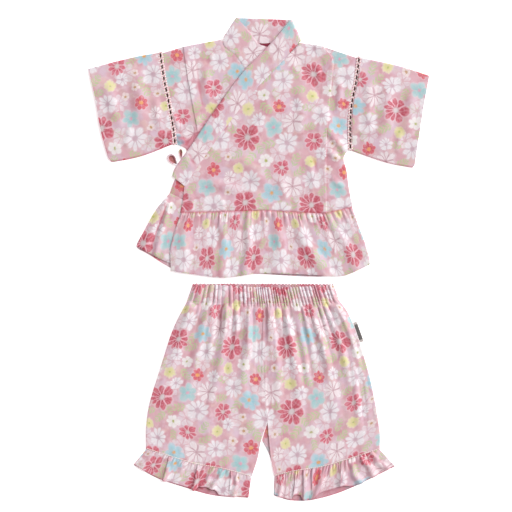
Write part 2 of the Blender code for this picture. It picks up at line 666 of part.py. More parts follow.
def build_sleeves(cotton):
    sides = (("sleeve_right", SLEEVE_RIGHT_RAILS, SLEEVE_RIGHT_CREASES),
             ("sleeve_left", SLEEVE_LEFT_RAILS, SLEEVE_LEFT_CREASES))
    for name, rails, creases in sides:
        rings = turned(ruled(rails, [5, 4], even(11), curved=True))
        below = turned(ruled(rails, [5, 4], even(8), curved=True))
        flat_tube(name, rings, below, cotton, lambda x, y, u, v, creases=creases:
                  edge_fade(u, 0.25) * (SLEEVE_PUFF + crease_lift(creases, x, y)))


def build_peplums(cotton):
    slab("peplum_right", ruled(PEPLUM_RIGHT_RAILS, [9, 6, 3, 3], PEPLUM_ROWS), cotton,
         lambda x, y, u, v: SECOND + crease_lift(PEPLUM_RIGHT_CREASES, x, y))
    slab("peplum_left", ruled(PEPLUM_LEFT_RAILS, [10, 15, 16, 15, 14, 6, 13], PEPLUM_ROWS, curved=True),
         cotton, lambda x, y, u, v: THIRD + drape(PEPLUM_LEFT_GATHERS, PEPLUM_LEFT_FOLDS, u, v))


def build_shorts(cotton):
    legs = (("leg_front_right", LEG_RIGHT_RAILS, LEG_RIGHT_GATHERS, LEG_RIGHT_FOLDS),
            ("leg_front_left", LEG_LEFT_RAILS, LEG_LEFT_GATHERS, LEG_LEFT_FOLDS))
    for name, rails, gathers, folds in legs:
        slab(name, ruled(rails, [11, 11, 11, 11], crowded(9, 1.5), curved=True), cotton,
             lambda x, y, u, v, gathers=gathers, folds=folds:
             SECOND + drape(gathers, folds, u, v) * edge_fade(u, 0.05))

    def casing_lift(x, y, u, v):
        ridge = 0.5 - 0.5 * math.cos(2 * math.pi * (WAIST_RIDGES * u + 0.2 * math.sin(19.0 * u)))
        swell = CASING_SWELL * math.sin(math.pi * min(max(v, 0.0), 1.0))
        return (WAIST_RIDGE_HEIGHT * ridge + swell) * edge_fade(u, CASING_FADE)

    flat_tube("waistband", ruled(WAISTBAND_RAILS, [38, 38, 38, 38], even(3), curved=True),
              ruled(WAISTBAND_BACK_RAILS, [3, 3], even(3), curved=True), cotton, casing_lift)

    ruffles = (("ruffle_right", RUFFLE_RIGHT_RAILS, RUFFLE_RIGHT_GATHERS, RUFFLE_RIGHT_FOLDS,
                RUFFLE_RIGHT_GAP),
               ("ruffle_left", RUFFLE_LEFT_RAILS, RUFFLE_LEFT_GATHERS, RUFFLE_LEFT_FOLDS,
                RUFFLE_LEFT_GAP))
    for name, rails, gathers, folds, gap_at in ruffles:
        front = ruled(rails, [14, 14, 14, 14], even(3), curved=True)
        for r, v in enumerate(front.vs):
            for c, u in enumerate(front.us):
                drawn_up = RUFFLE_BACK_DROP * bump(abs(u - gap_at), RUFFLE_GAP_WIDTH) * v
                front.points[r][c] = front.points[r][c] + Vector((0, drawn_up))
        flat_tube(name, front, ruled(rails, [4, 4, 4, 4], even(3), curved=True), cotton,
                  lambda x, y, u, v, gathers=gathers, folds=folds:
                  drape(gathers, folds, u, v) * edge_fade(u, 0.04))


def build_label(grey):
    upper, lower = LABEL_CORNERS[:2], [LABEL_CORNERS[3], LABEL_CORNERS[2]]
    rails = [[upper[0], lower[0]], [upper[1], lower[1]]]
    slab("side_label", ruled(rails, [1], even(1)), grey, flat(BACK))


def main():
    clear_scene()
    cotton = make_finish("printed_cotton", COTTON_PINK, 0.85)
    inside = make_finish("printed_cotton_inside", COTTON_INSIDE, 0.88)
    white = make_finish("ladder_lace", LACE_WHITE, 0.8)
    grey = make_finish("woven_label", LABEL_GREY, 0.7)
    build_backs(cotton, inside)
    build_fronts(cotton)
    build_collar(cotton)
    build_sleeves(cotton)
    for side, line in (("right", LACE_LINE_RIGHT), ("left", LACE_LINE_LEFT)):
        over = lap_base if side == "left" else (lambda x, y: SECOND)
        build_lace(side, line, over, white, plain=False)
        build_lace(side, line, lambda x, y: BACK, white, plain=True)
    build_peplums(cotton)
    for loop in TIE_LOOPS:
        build_tie_loop(loop, cotton)
    build_shorts(cotton)
    build_label(grey)


main()
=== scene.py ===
# A girl's jinbei laid flat: a wrap top with a gathered peplum, and shorts with ruffled hems.
# Tables are in millimetres: X across the garment, Y up towards the neck, Z up from the surface.
import math
import random

import bpy
import numpy as np
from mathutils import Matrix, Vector, noise


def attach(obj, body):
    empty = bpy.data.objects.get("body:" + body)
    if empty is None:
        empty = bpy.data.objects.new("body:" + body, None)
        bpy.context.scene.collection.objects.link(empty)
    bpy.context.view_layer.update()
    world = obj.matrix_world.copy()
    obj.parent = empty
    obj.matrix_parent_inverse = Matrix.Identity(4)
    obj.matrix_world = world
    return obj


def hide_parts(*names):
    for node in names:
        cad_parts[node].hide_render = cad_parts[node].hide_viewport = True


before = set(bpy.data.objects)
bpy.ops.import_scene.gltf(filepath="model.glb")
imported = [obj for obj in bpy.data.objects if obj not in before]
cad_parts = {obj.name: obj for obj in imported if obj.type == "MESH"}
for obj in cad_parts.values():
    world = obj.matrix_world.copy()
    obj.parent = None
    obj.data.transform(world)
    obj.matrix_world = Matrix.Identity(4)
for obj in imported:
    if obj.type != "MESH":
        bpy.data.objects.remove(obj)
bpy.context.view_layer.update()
bpy.ops.object.select_all(action="DESELECT")

mm = 0.001
backZ, secondZ, thirdZ = 0.0, 1.5, 3.0      # undersides of the three layers of cloth
layerLift = 0.2                             # the upper layers' cloth lies this far above them
clothThick = 0.8
spanSteps = 10


# lines and grids

def smoothRun(points):
    # close points on the smooth curve through a few given ones
    points = np.array(points, float)
    shares = np.linspace(0, 1, spanSteps + 1)
    if len(points) == 2:
        return points[0] + (points[1] - points[0]) * shares[:, None]
    knots = np.concatenate([[0], np.cumsum(np.hypot(*np.diff(points, axis=0).T))])
    last = len(points) - 1
    slopes = []
    for index in range(last + 1):
        before, after = max(index - 1, 0), min(index + 1, last)
        slopes.append((points[after] - points[before]) / (knots[after] - knots[before]))
    run = []
    for index in range(last):
        span = knots[index + 1] - knots[index]
        for t in shares[:-1]:
            run.append(points[index] * (2 * t ** 3 - 3 * t ** 2 + 1)
                       + slopes[index] * span * (t ** 3 - 2 * t ** 2 + t)
                       + points[index + 1] * (3 * t ** 2 - 2 * t ** 3)
                       + slopes[index + 1] * span * (t ** 3 - t ** 2))
    run.append(points[last])
    return np.array(run)


def cornerRun(points):
    # the same, with a corner wherever a point is given twice
    runs, start = [], 0
    for index in range(1, len(points)):
        if points[index] == points[index - 1]:
            runs.append(points[start:index])
            start = index
    runs.append(points[start:])
    return np.concatenate([smoothRun(run) for run in runs])


def alongLine(points, shares):
    line = cornerRun(points)
    lengths = np.concatenate([[0], np.cumsum(np.hypot(*np.diff(line, axis=0).T))])
    targets = np.array(shares) * lengths[-1]
    return np.column_stack([np.interp(targets, lengths, line[:, axis]) for axis in (0, 1)])


class Grid:
    # points of a panel: x and y in mm, u across and v down as fractions
    def __init__(self, x, y, u, v):
        self.x, self.y, self.u, self.v = x, y, u, v

    def turned(self):
        return Grid(self.x.T, self.y.T, self.v.T, self.u.T)


def railGrid(rails, weights, density, rows, curved=False, creaseAt=()):
    # rails run down the panel; weights share the columns out between them
    places = []
    for index, weight in enumerate(weights):
        cells = max(1, round(weight * density))
        places += [index + step / cells for step in range(cells)]
    places = np.unique(np.array(places + [len(weights)] + list(creaseAt), float))
    rows = np.array(rows, float)
    lines = np.array([alongLine(rail, rows) for rail in rails])
    marks = np.concatenate([[0], np.cumsum(weights)]) / sum(weights)
    x, y = [], []
    for row in range(len(rows)):
        knots = lines[:, row]
        if curved and len(knots) > 2:
            run, scale = smoothRun(knots), spanSteps
        else:
            run, scale = knots, 1
        index = np.arange(len(run))
        x.append(np.interp(places * scale, index, run[:, 0]))
        y.append(np.interp(places * scale, index, run[:, 1]))
    u = np.interp(places, np.arange(len(rails)), marks)
    uAll, vAll = np.meshgrid(u, rows)
    return Grid(np.array(x), np.array(y), uAll, vAll)


def even(count):
    return np.linspace(0, 1, count + 1)


def ease(t):
    t = np.clip(t, 0.0, 1.0)
    return t * t * (3 - 2 * t)


def bump(distance, width):
    return np.where(distance < width, 0.5 + 0.5 * np.cos(np.pi * distance / width), 0.0)


def nearLine(x, y, points):
    # distance to a line, which side of it (1 on its left), and how far along it
    run = cornerRun(points)
    steps = np.hypot(*np.diff(run, axis=0).T)
    total, before = steps.sum(), 0.0
    best = np.full(x.shape, 1e9)
    side, share = np.ones(x.shape), np.zeros(x.shape)
    for (ax, ay), (bx, by), length in zip(run, run[1:], steps):
        if length == 0:
            continue
        dx, dy = (bx - ax) / length, (by - ay) / length
        t = np.clip((x - ax) * dx + (y - ay) * dy, 0, length)
        offX, offY = x - ax - dx * t, y - ay - dy * t
        away = np.hypot(offX, offY)
        closer = away < best
        best = np.where(closer, away, best)
        side = np.where(closer, np.where(dx * offY - dy * offX >= 0, 1.0, -1.0), side)
        share = np.where(closer, (before + t) / total, share)
        before += length
    return best, side, share


def crease(height, width, *line, kind="soft", fade=(0.25, 0.35)):
    # a crease in the cloth; fade says over what share of its line it starts and ends
    return dict(height=height, width=width, line=line, kind=kind, fade=fade)


def creaseLift(x, y, creases):
    lift = np.zeros(x.shape)
    for one in creases:
        away, side, share = nearLine(x, y, one["line"])
        width, kind = one["width"], one["kind"]
        fadeIn, fadeOut = one["fade"]
        ends = ease(share / fadeIn) if fadeIn else 1.0
        ends = ends * (ease((1 - share) / fadeOut) if fadeOut else 1.0)
        if kind == "soft":
            form = bump(away, width)
        elif kind == "sharp":                # a pinched ridge or a narrow valley
            form = np.clip(1 - away / width, 0, 1) ** 1.6
        elif kind == "left":                 # a folded edge that faces the line's right
            form = np.where(side > 0, 1 - ease(away / width), 0.0)
        else:                                # and one that faces its left
            form = np.where(side < 0, 1 - ease(away / width), 0.0)
        lift += one["height"] * form * ends
    return lift


def clothNoise(x, y, size, seed, stretch):
    # soft unevenness from -1 to 1, longer across or down when stretched
    wide, tall = size * stretch[0], size * stretch[1]
    values = [noise.noise(Vector((px / wide, py / tall, seed * 7.31))) for px, py in zip(x.flat, y.flat)]
    return np.reshape(values, x.shape)


def gatherLift(u, v, gathers):
    # rounded gathers with sharp valleys between them, each with a width, height and reach of its own
    rng = random.Random(gathers["seed"])
    widths = [rng.uniform(1 - gathers["uneven"], 1 + gathers["uneven"]) for _ in range(gathers["count"])]
    if "density" in gathers:
        marks, values = zip(*gathers["density"])
        centres = (np.arange(len(widths)) + 0.5) / len(widths)
        widths = [w * np.interp(c, marks, values) for w, c in zip(widths, centres)]
    total = sum(widths)
    lift, start = np.zeros(u.shape), 0.0
    for width in widths:
        half = width / total / 2
        centre = start + half
        start += 2 * half
        height = gathers["height"] * rng.uniform(0.55, 1.15)
        reach = gathers["reach"] * rng.uniform(0.45, 1.3)
        lean = gathers.get("lean", 0.0) * (centre - 0.5) + rng.uniform(-1, 1) * gathers.get("wander", 0.0)
        spread = half * (1 + gathers.get("widen", 0.0) * v)
        away = np.abs(u - centre - lean * v) / spread
        form = np.clip(1 - away ** 2, 0, 1) * height * (1 - ease(v / reach))
        lift = np.maximum(lift, form)
    return lift


def foldLift(u, v, folds):
    # long folds: where each starts and ends across, how far down it runs, its height and half-width
    lift = np.zeros(u.shape)
    for start, end, reach, height, width in folds:
        centre = start + (end - start) * v + 0.006 * np.sin(9 * v + 40 * start)
        fade = 1.0 if reach >= 1.0 else 1 - ease(v / reach)
        grow = 0.6 + 0.4 * ease(v * 2)
        lift += height * bump(np.abs(u - centre), width * (0.8 + 0.4 * v)) * fade * grow
    return lift


def edgeFade(u, width):
    return ease(np.minimum(u, 1 - u) / width)


# materials

def srgb(red, green, blue):
    def one(value):
        value /= 255.0
        return value / 12.92 if value <= 0.04045 else ((value + 0.055) / 1.055) ** 2.4
    return (one(red), one(green), one(blue), 1.0)


class Wire:
    # an output in a node tree, which can be reckoned with like a number
    def __init__(self, tree, socket):
        self.tree, self.socket = tree, socket

    def __add__(self, other):
        return self.tree.maths("ADD", self, other)

    def __sub__(self, other):
        return self.tree.maths("SUBTRACT", self, other)

    def __rsub__(self, other):
        return self.tree.maths("SUBTRACT", other, self)

    def __mul__(self, other):
        return self.tree.maths("MULTIPLY", self, other)

    def __truediv__(self, other):
        return self.tree.maths("DIVIDE", self, other)

    def __pow__(self, other):
        return self.tree.maths("POWER", self, other)

    def __abs__(self):
        return self.tree.maths("ABSOLUTE", self)


class Tree:
    # short names for the nodes of one material or group
    def __init__(self, tree):
        self.tree = tree

    def put(self, source, socket):
        if isinstance(source, Wire):
            self.tree.links.new(source.socket, socket)
        else:
            socket.default_value = source

    def node(self, kind, inputs=(), **settings):
        node = self.tree.nodes.new(kind)
        for name, value in settings.items():
            setattr(node, name, value)
        for name, value in dict(inputs).items():
            self.put(value, node.inputs[name])
        return node

    def out(self, output, kind, inputs=(), **settings):
        return Wire(self, self.node(kind, inputs, **settings).outputs[output])

    def maths(self, operation, *values):
        node = self.node("ShaderNodeMath", dict(enumerate(values)), operation=operation)
        return Wire(self, node.outputs[0])

    def vector(self, operation, *values, scale=None):
        node = self.node("ShaderNodeVectorMath", dict(enumerate(values)), operation=operation)
        if scale is not None:
            self.put(scale, node.inputs["Scale"])
        return Wire(self, node.outputs["Value" if operation == "LENGTH" else "Vector"])

    def mix(self, factor, a, b):
        return self.out(2, "ShaderNodeMix", {0: factor, 6: a, 7: b}, data_type="RGBA")

    def mixVector(self, factor, a, b):
        return self.out(1, "ShaderNodeMix", {0: factor, 4: a, 5: b}, data_type="VECTOR")

    def step(self, value, low, high):
        # 0 at low and 1 at high, with a soft run between
        return self.out("Result", "ShaderNodeMapRange", {"Value": value, "From Min": low, "From Max": high},
                        interpolation_type="SMOOTHSTEP", clamp=True)

    def noise(self, vector, scale, detail=2.0, roughness=0.5, output="Fac"):
        return self.out(output, "ShaderNodeTexNoise", {"Vector": vector, "Scale": scale, "Detail": detail,
                                                       "Roughness": roughness})

    def split(self, value, kind="XYZ"):
        node = self.node("ShaderNodeSeparate" + kind, {0: value})
        return [Wire(self, output) for output in node.outputs]

    def flatWay(self, vector):
        return self.vector("MULTIPLY", vector, (1, 1, 0))

    def steps(self, factor, stops):
        # a ramp of flat colours, one for each kind of flower
        node = self.node("ShaderNodeValToRGB", {"Fac": factor})
        ramp = node.color_ramp
        ramp.interpolation = "CONSTANT"
        while len(ramp.elements) < len(stops):
            ramp.elements.new(0.5)
        for index in range(len(stops)):
            ramp.elements[index].position = index / rampSlots
        for index, colour in enumerate(stops):
            ramp.elements[index].color = colour
        return Wire(self, node.outputs["Color"]), Wire(self, node.outputs["Alpha"])

    def surface(self, colour, roughness, height, distance, strength, specular=0.3, **more):
        # the shader, with its relief, and the material's output
        relief = self.out(0, "ShaderNodeBump", {"Height": height, "Distance": distance, "Strength": strength})
        shader = self.out(0, "ShaderNodeBsdfPrincipled", {
            "Base Color": colour, "Roughness": roughness, "Normal": relief, "Specular IOR Level": specular,
            **more})
        self.node("ShaderNodeOutputMaterial", {"Surface": shader})


def newMaterial(name):
    material = bpy.data.materials.new(name)
    material.use_nodes = True
    material.node_tree.nodes.clear()
    return material, Tree(material.node_tree)


printRepeat = 190.0      # the printed pattern's repeat
rampSlots = 16           # the ramps that look up a flower's kind are cut into so many parts
# Each kind: petals, how wide each is beside its share of the round, core radius, how strongly its petals
# fan to one side, width and strength of the lines between petals, strength of the line along their tips,
# how soft the rim is, and the colours.
flowerKinds = [
    dict(name="redCosmos", petals=9, wide=1.12, core=0.22, fan=0.5, gap=0.042, gapMix=0.9, edge=0.2,
         soft=0.14, coreColour=srgb(208, 204, 204), inner=srgb(184, 62, 84), outer=srgb(200, 78, 100),
         line=srgb(236, 190, 202)),
    dict(name="smallRed", petals=8, wide=1.1, core=0.24, fan=0.35, gap=0.05, gapMix=0.9, edge=0.2,
         soft=0.14, coreColour=srgb(212, 204, 202), inner=srgb(196, 74, 98), outer=srgb(208, 92, 114),
         line=srgb(236, 194, 204)),
    dict(name="aquaCosmos", petals=6, wide=0.98, core=0.18, fan=0.3, gap=0.05, gapMix=0.35, edge=0.0,
         soft=0.34, coreColour=srgb(222, 164, 84), inner=srgb(148, 206, 216), outer=srgb(176, 216, 226),
         line=srgb(198, 208, 226)),
    dict(name="aquaPink", petals=5, wide=0.98, core=0.16, fan=0.2, gap=0.05, gapMix=0.3, edge=0.0,
         soft=0.36, coreColour=srgb(220, 160, 182), inner=srgb(150, 206, 208), outer=srgb(176, 216, 216),
         line=srgb(200, 212, 220)),
    dict(name="whiteCosmos", petals=8, wide=1.04, core=0.24, fan=0.45, gap=0.055, gapMix=0.75, edge=0.25,
         soft=0.18, coreColour=srgb(196, 172, 184), inner=srgb(228, 230, 234), outer=srgb(240, 244, 246),
         line=srgb(196, 176, 188)),
    dict(name="linedWhite", petals=8, wide=0.96, core=0.13, fan=0.5, gap=0.05, gapMix=0.9, edge=0.6,
         soft=0.12, coreColour=srgb(184, 146, 156), inner=srgb(236, 230, 232), outer=srgb(242, 242, 244),
         line=srgb(194, 158, 170)),
    dict(name="rose", petals=7, wide=1.15, core=0.28, fan=0.2, gap=0.06, gapMix=0.4, edge=0.15,
         soft=0.16, coreColour=srgb(232, 168, 96), inner=srgb(198, 62, 82), outer=srgb(214, 92, 106),
         line=srgb(230, 148, 156)),
    dict(name="pompon", petals=11, wide=1.6, core=0.18, fan=0.05, gap=0.03, gapMix=0.25, edge=0.0,
         soft=0.4, coreColour=srgb(176, 196, 100), inner=srgb(220, 220, 150), outer=srgb(228, 228, 184),
         line=srgb(214, 216, 144)),
    dict(name="daisy", petals=6, wide=1.25, core=0.18, fan=0.2, gap=0.05, gapMix=0.35, edge=0.1,
         soft=0.2, coreColour=srgb(164, 178, 92), inner=srgb(232, 234, 230), outer=srgb(240, 244, 244),
         line=srgb(206, 204, 202)),
    dict(name="bud", petals=5, wide=1.2, core=0.30, fan=0.15, gap=0.07, gapMix=0.5, edge=0.1,
         soft=0.2, coreColour=srgb(190, 154, 104), inner=srgb(228, 216, 212), outer=srgb(236, 230, 228),
         line=srgb(206, 184, 178)),
]
# the radii that the flowers are laid out at, in this order, and how much each kind then grows
flowerOrder = [
    ("redCosmos", (19.5, 18.5, 17.5)), ("aquaCosmos", (16.0, 15.0)), ("aquaPink", (14.5, 13.5)),
    ("linedWhite", (17.5, 16.5, 15.5)), ("whiteCosmos", (16.0, 15.5, 15.0, 14.5, 14.0, 13.5, 13.0)),
    ("smallRed", (13.0, 11.5)), ("rose", (10.2, 9.8, 9.2)), ("pompon", (10.4, 9.8, 9.4, 9.0)),
    ("daisy", (10.4, 9.6, 9.0)), ("whiteCosmos", (9.6, 9.2, 9.0, 8.6)), ("linedWhite", (8.8,)),
    ("bud", (6.6, 6.4, 6.2, 6.0, 5.8, 5.6)),
]
flowerGrowth = dict(redCosmos=1.12, smallRed=1.12, rose=1.12, aquaCosmos=1.033, aquaPink=1.05,
                    whiteCosmos=1.18, linedWhite=1.18, pompon=1.0, daisy=1.14, bud=1.06)
sameColour = dict(smallRed="redCosmos", rose="redCosmos", aquaPink="aquaCosmos")
whiteKinds = ("whiteCosmos", "linedWhite")
leafSpan, paleSpan, leafClear = (9.5, 13), (13, 18), 15      # least and greatest radius; space round a sprig


def awayFrom(tries, place):
    # how far each tried place lies from a motif, in a repeat that joins up with itself
    half = printRepeat / 2
    return np.hypot(*((tries - place + half) % printRepeat - half).T)


def bestTry(rng, count, score):
    tries = np.array([[rng.uniform(0, printRepeat), rng.uniform(0, printRepeat)] for _ in range(count)])
    return tries[np.argmax(score(tries))]


def ownTurn(rng):
    # a share of a whole turn, always under one, as it is kept behind the point of the motif's code
    return round(rng.random() * 0.98, 2)


def layFlowers(rng):
    # each flower takes the best of many tries: clear of the others, and far from those of its colour
    laid = []
    for name, sizes in flowerOrder:
        for size in sizes:
            def score(tries):
                free = same = np.full(len(tries), 99.0)
                for other, place, otherSize, _ in laid:
                    gap = awayFrom(tries, place) - (size + otherSize) * 0.97
                    free = np.minimum(free, gap)
                    if sameColour.get(other, other) == sameColour.get(name, name):
                        same = np.minimum(same, gap)
                if name in whiteKinds:
                    return np.where(free < 0, free, -0.6 * np.abs(free - 0.8)) + 0.05 * same
                if name == "bud":
                    return np.where(free < 0, free, 0.3 * free)
                return np.minimum(free, 3) + 0.12 * same
            laid.append((name, bestTry(rng, 3000, score), size, ownTurn(rng)))
    return laid


def layLeaves(rng, flowers, count=18):
    # sprigs of leaves fill the gaps between the flowers, well apart
    laid = []
    for _ in range(count):
        def score(tries):
            gaps = [awayFrom(tries, place) - size * 0.8 for _, place, size, _ in flowers]
            return np.min(gaps + [awayFrom(tries, leaf[:2]) - leafClear for leaf in laid], axis=0)
        x, y = np.round(bestTry(rng, 4000, score), 1)
        laid.append((x, y, round(rng.uniform(*leafSpan), 1), ownTurn(rng)))
    return laid


def layPale(rng, flowers, count=15):
    # paler blossoms lie half under the white ones, well apart
    whites = [(np.round(place, 1), size) for name, place, size, _ in flowers
              if name in (*whiteKinds, "daisy")]
    laid = []
    for _ in range(count):
        def score(tries):
            near = np.min([np.abs(awayFrom(tries, place) - size * 1.25) for place, size in whites], axis=0)
            gaps = [np.full(len(tries), 40.0)] + [awayFrom(tries, pale[:2]) for pale in laid]
            return np.min(gaps, axis=0) - near
        x, y = np.round(bestTry(rng, 3000, score), 1)
        laid.append((x, y, round(rng.uniform(*paleSpan), 1), ownTurn(rng)))
    return laid


# where each motif lies in the repeat: x, y, radius, turn
printRng = random.Random(3)
flowersLaid = layFlowers(printRng)
leafPlaces = layLeaves(printRng, flowersLaid)
leafPlaces += [(64.0, 12.0, 12.5, 0.33), (25.0, 113.0, 12.0, 0.61), (121.0, 55.0, 11.5, 0.9),
               (160.0, 110.0, 11.0, 0.3), (62.0, 88.0, 10.5, 0.15), (182.0, 83.0, 11.5, 0.68),
               (98.0, 6.0, 10.5, 0.55), (30.0, 78.0, 11.0, 0.42)]
palePlaces = layPale(random.Random(8), flowersLaid)
groundColours = dict(main=srgb(215, 175, 184), rose=srgb(205, 154, 165), lilac=srgb(215, 194, 208),
                     peach=srgb(224, 194, 190), pale=srgb(229, 212, 217), sage=srgb(182, 210, 150),
                     moss=srgb(202, 210, 188), blossom=srgb(226, 221, 226))
# washes of colour over the ground: where each is taken from, its scale, its soft edge and its strength
groundWashes = [
    dict(colour="lilac", shift=(0, 0, 0), scale=0.032, low=0.42, high=0.62, strength=1.0),
    dict(colour="rose", shift=(71, 13, 0), scale=0.04, low=0.46, high=0.66, strength=1.0),
    dict(colour="peach", shift=(7, 131, 0), scale=0.05, low=0.52, high=0.7, strength=0.8),
    dict(colour="pale", shift=(0, 0, 0), scale=0.11, low=0.5, high=0.75, strength=0.55),
    dict(colour="moss", shift=(217, 31, 0), scale=0.055, low=0.52, high=0.68, strength=0.2),
]
codeScale = 1000.0       # a motif's own number is carried in the height of its place, this much smaller


def nearestMotif(t, point, places):
    # the nearest motif of the repeat, seen from its own centre in radii, with its code in z
    half = (printRepeat / 2, printRepeat / 2, 1000.0)       # the pattern repeats across and down only
    best = bestAway = None
    for x, y, radius, code in places:
        away = t.vector("SUBTRACT", point, (x, y, -code * radius / codeScale))
        away = t.vector("WRAP", away, half, tuple(-side for side in half))
        away = t.vector("SCALE", away, scale=1 / radius)
        length = t.vector("LENGTH", away)
        if best is None:
            best, bestAway = away, length
            continue
        best = t.mixVector(t.maths("LESS_THAN", length, bestAway), best, away)
        bestAway = t.maths("MINIMUM", length, bestAway)
    return best


def printedFlowers(t, point, patch):
    # the flowers' colour, how far they cover the ground, and the distance outside a flower's rim
    order = {kind["name"]: index for index, kind in enumerate(flowerKinds)}
    places = [(*np.round(place, 1), round(size * flowerGrowth[name], 1), order[name] + turn)
              for name, place, size, turn in sorted(flowersLaid, key=lambda laid: order[laid[0]])]
    flower = nearestMotif(t, point, places)
    x, y, z = t.split(flower)
    kind = t.maths("FLOOR", z * codeScale)
    turn = t.maths("FRACT", z * codeScale) * (2 * math.pi)
    away = t.vector("LENGTH", t.flatWay(flower))
    pick = (kind + 0.5) / rampSlots
    inner, _ = t.steps(pick, [k["inner"] for k in flowerKinds])
    outer, _ = t.steps(pick, [k["outer"] for k in flowerKinds])
    line, gapMix = t.steps(pick, [k["line"][:3] + (k["gapMix"],) for k in flowerKinds])
    core, edgeMix = t.steps(pick, [k["coreColour"][:3] + (k["edge"],) for k in flowerKinds])
    form, coreSize = t.steps(pick, [(k["petals"] / 16, k["wide"] / 2, k["fan"], k["core"])
                                    for k in flowerKinds])
    petalShare, halfWide, fan = t.split(form, "Color")
    gapForm, _ = t.steps(pick, [(k["gap"], k["soft"], 0, 1) for k in flowerKinds])
    gapWidth, soft, _ = t.split(gapForm, "Color")

    # which petal a place is in, how far it lies from that petal's middle, and the petal's own share
    petals = t.maths("ROUND", petalShare * 16)
    angle = t.maths("ARCTAN2", y, x) + turn
    lobes = (angle + fan * t.maths("SINE", angle + turn)) * petals / (2 * math.pi)
    inPetal = t.maths("FRACT", lobes) - 0.5
    across = abs(inPetal) * 2
    number = t.maths("FLOORED_MODULO", t.maths("FLOOR", lobes), petals)
    seed = t.out(0, "ShaderNodeCombineXYZ", {"X": number, "Y": kind, "Z": turn})
    own = t.out("Value", "ShaderNodeTexWhiteNoise", {"Vector": seed}, noise_dimensions="3D")

    # each petal is an oval from near the core to its own tip
    base = coreSize * 0.4
    half = (1 - own * 0.2 - base) * 0.5
    middle = base + half
    wide = halfWide * 2 * (own * 0.24 + 0.88)
    lengthwise = abs((away - middle) / half) ** 2.6
    crosswise = across * away / (middle * wide) * (away * -0.05 + 0.86)
    rim = t.maths("SQRT", lengthwise + crosswise * crosswise) - 1
    fill = 1 - t.step(rim, soft * -1, soft)

    # the lines between petals, their veins, and a ragged core
    gap = (1 - across) * (away * math.pi / petals) / (gapWidth * (own * 0.6 + 0.75))
    vein = (t.maths("SINE", inPetal * 26) + 1) * t.step(away, 0.2, 0.9)
    colour = t.mix(t.step(away, 0.25, 0.95), inner, outer)
    colour = t.mix(vein * 0.13, colour, line)
    colour = t.mix(t.step(patch, 0.45, 0.7) * 0.35, colour, outer)
    colour = t.mix((1 - t.step(gap, 0.3, 1.2)) * gapMix, colour, line)
    colour = t.mix(t.step(rim, -0.3, 0) * edgeMix, colour, line)
    inCore = away - coreSize
    spoke = t.maths("SINE", angle * 11) * 0.04
    coreMask = 1 - t.step(inCore + spoke, -0.03, 0.05)
    colour = t.mix(coreMask, colour, t.mix(t.step(inCore, -0.12, 0.02) * 0.45, core, inner))
    return colour, t.maths("MAXIMUM", fill, coreMask), rim


def printedLeaves(t, point):
    # sprigs: small oval leaves in pairs along a fine stem, inside an outline that narrows to its ends
    leaf = nearestMotif(t, point, leafPlaces)
    turn = t.split(leaf)[2] * (2 * math.pi * codeScale)
    turned = t.out(0, "ShaderNodeVectorRotate", {"Vector": t.flatWay(leaf), "Angle": turn},
                   rotation_type="Z_AXIS")
    along, side, _ = t.split(turned)
    side = abs(side)
    outline = (1 - abs(along) ** 2) * 0.62
    inLeaf = 1 - t.step(side - outline, -0.1, 0.1)
    inLeaflet = (t.maths("FRACT", (along - side * 0.75) / 0.46 + 8.2) - 0.5) * 3
    out = (side - 0.27) / 0.24
    leaflet = 1 - t.step(t.maths("SQRT", inLeaflet * inLeaflet + out * out), 0.75, 1.15)
    stem = 1 - t.step(side, 0.02, 0.07)
    return inLeaf * t.maths("MAXIMUM", leaflet, stem * 0.7) * 0.78


def printedBlossoms(t, point):
    # paler blossoms with seven petals: their colour and how far they cover the ground
    pale = nearestMotif(t, point, palePlaces)
    x, y, z = t.split(pale)
    away = t.vector("LENGTH", t.flatWay(pale))
    angle = t.maths("ARCTAN2", y, x) + z * (2 * math.pi * codeScale)
    petal = abs(t.maths("COSINE", angle * 3.5))
    rim = away - (petal * 0.26 + 0.72)
    line = t.maths("MAXIMUM", 1 - t.step(petal * away, 0.02, 0.22), t.step(rim, -0.14, -0.02))
    heart = 1 - t.step(away, 0.14, 0.22)
    colour = t.mix(t.maths("MAXIMUM", line, heart) * 0.7, groundColours["blossom"], groundColours["rose"])
    return colour, 1 - t.step(rim, -0.08, 0.04)


def makePrint():
    # the printed pattern: a colour for each place on the cloth, in mm
    group = bpy.data.node_groups.new("floralPrint", "ShaderNodeTree")
    group.interface.new_socket("Vector", in_out="INPUT", socket_type="NodeSocketVector")
    group.interface.new_socket("Color", in_out="OUTPUT", socket_type="NodeSocketColor")
    t = Tree(group)
    source = t.out("Vector", "NodeGroupInput")
    point = source
    for scale, detail, amount in ((0.11, 3, 5.0), (0.45, 2, 1.4)):     # outlines stray, as in watercolour
        stray = t.vector("SUBTRACT", t.noise(source, scale, detail, output="Color"), (0.5, 0.5, 0.5))
        point = t.vector("ADD", point, t.vector("SCALE", stray, scale=amount))
    point = t.flatWay(point)
    patch = t.noise(source, 0.23, 2)
    flowers, fill, rim = printedFlowers(t, point, patch)
    ground = groundColours["main"]
    for wash in groundWashes:
        cloud = t.noise(t.vector("ADD", source, wash["shift"]), wash["scale"], 3)
        cover = t.step(cloud, wash["low"], wash["high"]) * wash["strength"]
        ground = t.mix(cover, ground, groundColours[wash["colour"]])
    ground = t.mix(printedLeaves(t, point), ground, groundColours["sage"])
    blossoms, cover = printedBlossoms(t, point)
    ground = t.mix(cover * (0.85 - t.step(patch, 0.35, 0.7) * 0.4), ground, blossoms)
    halo = 1 - t.step(rim, 0, 0.55)
    ground = t.mix(halo * 0.55, ground, groundColours["pale"])
    colour = t.mix(fill * (0.97 - t.step(patch, 0.4, 0.75) * 0.35), ground, flowers)
    t.node("NodeGroupOutput", {"Color": colour})
    return group


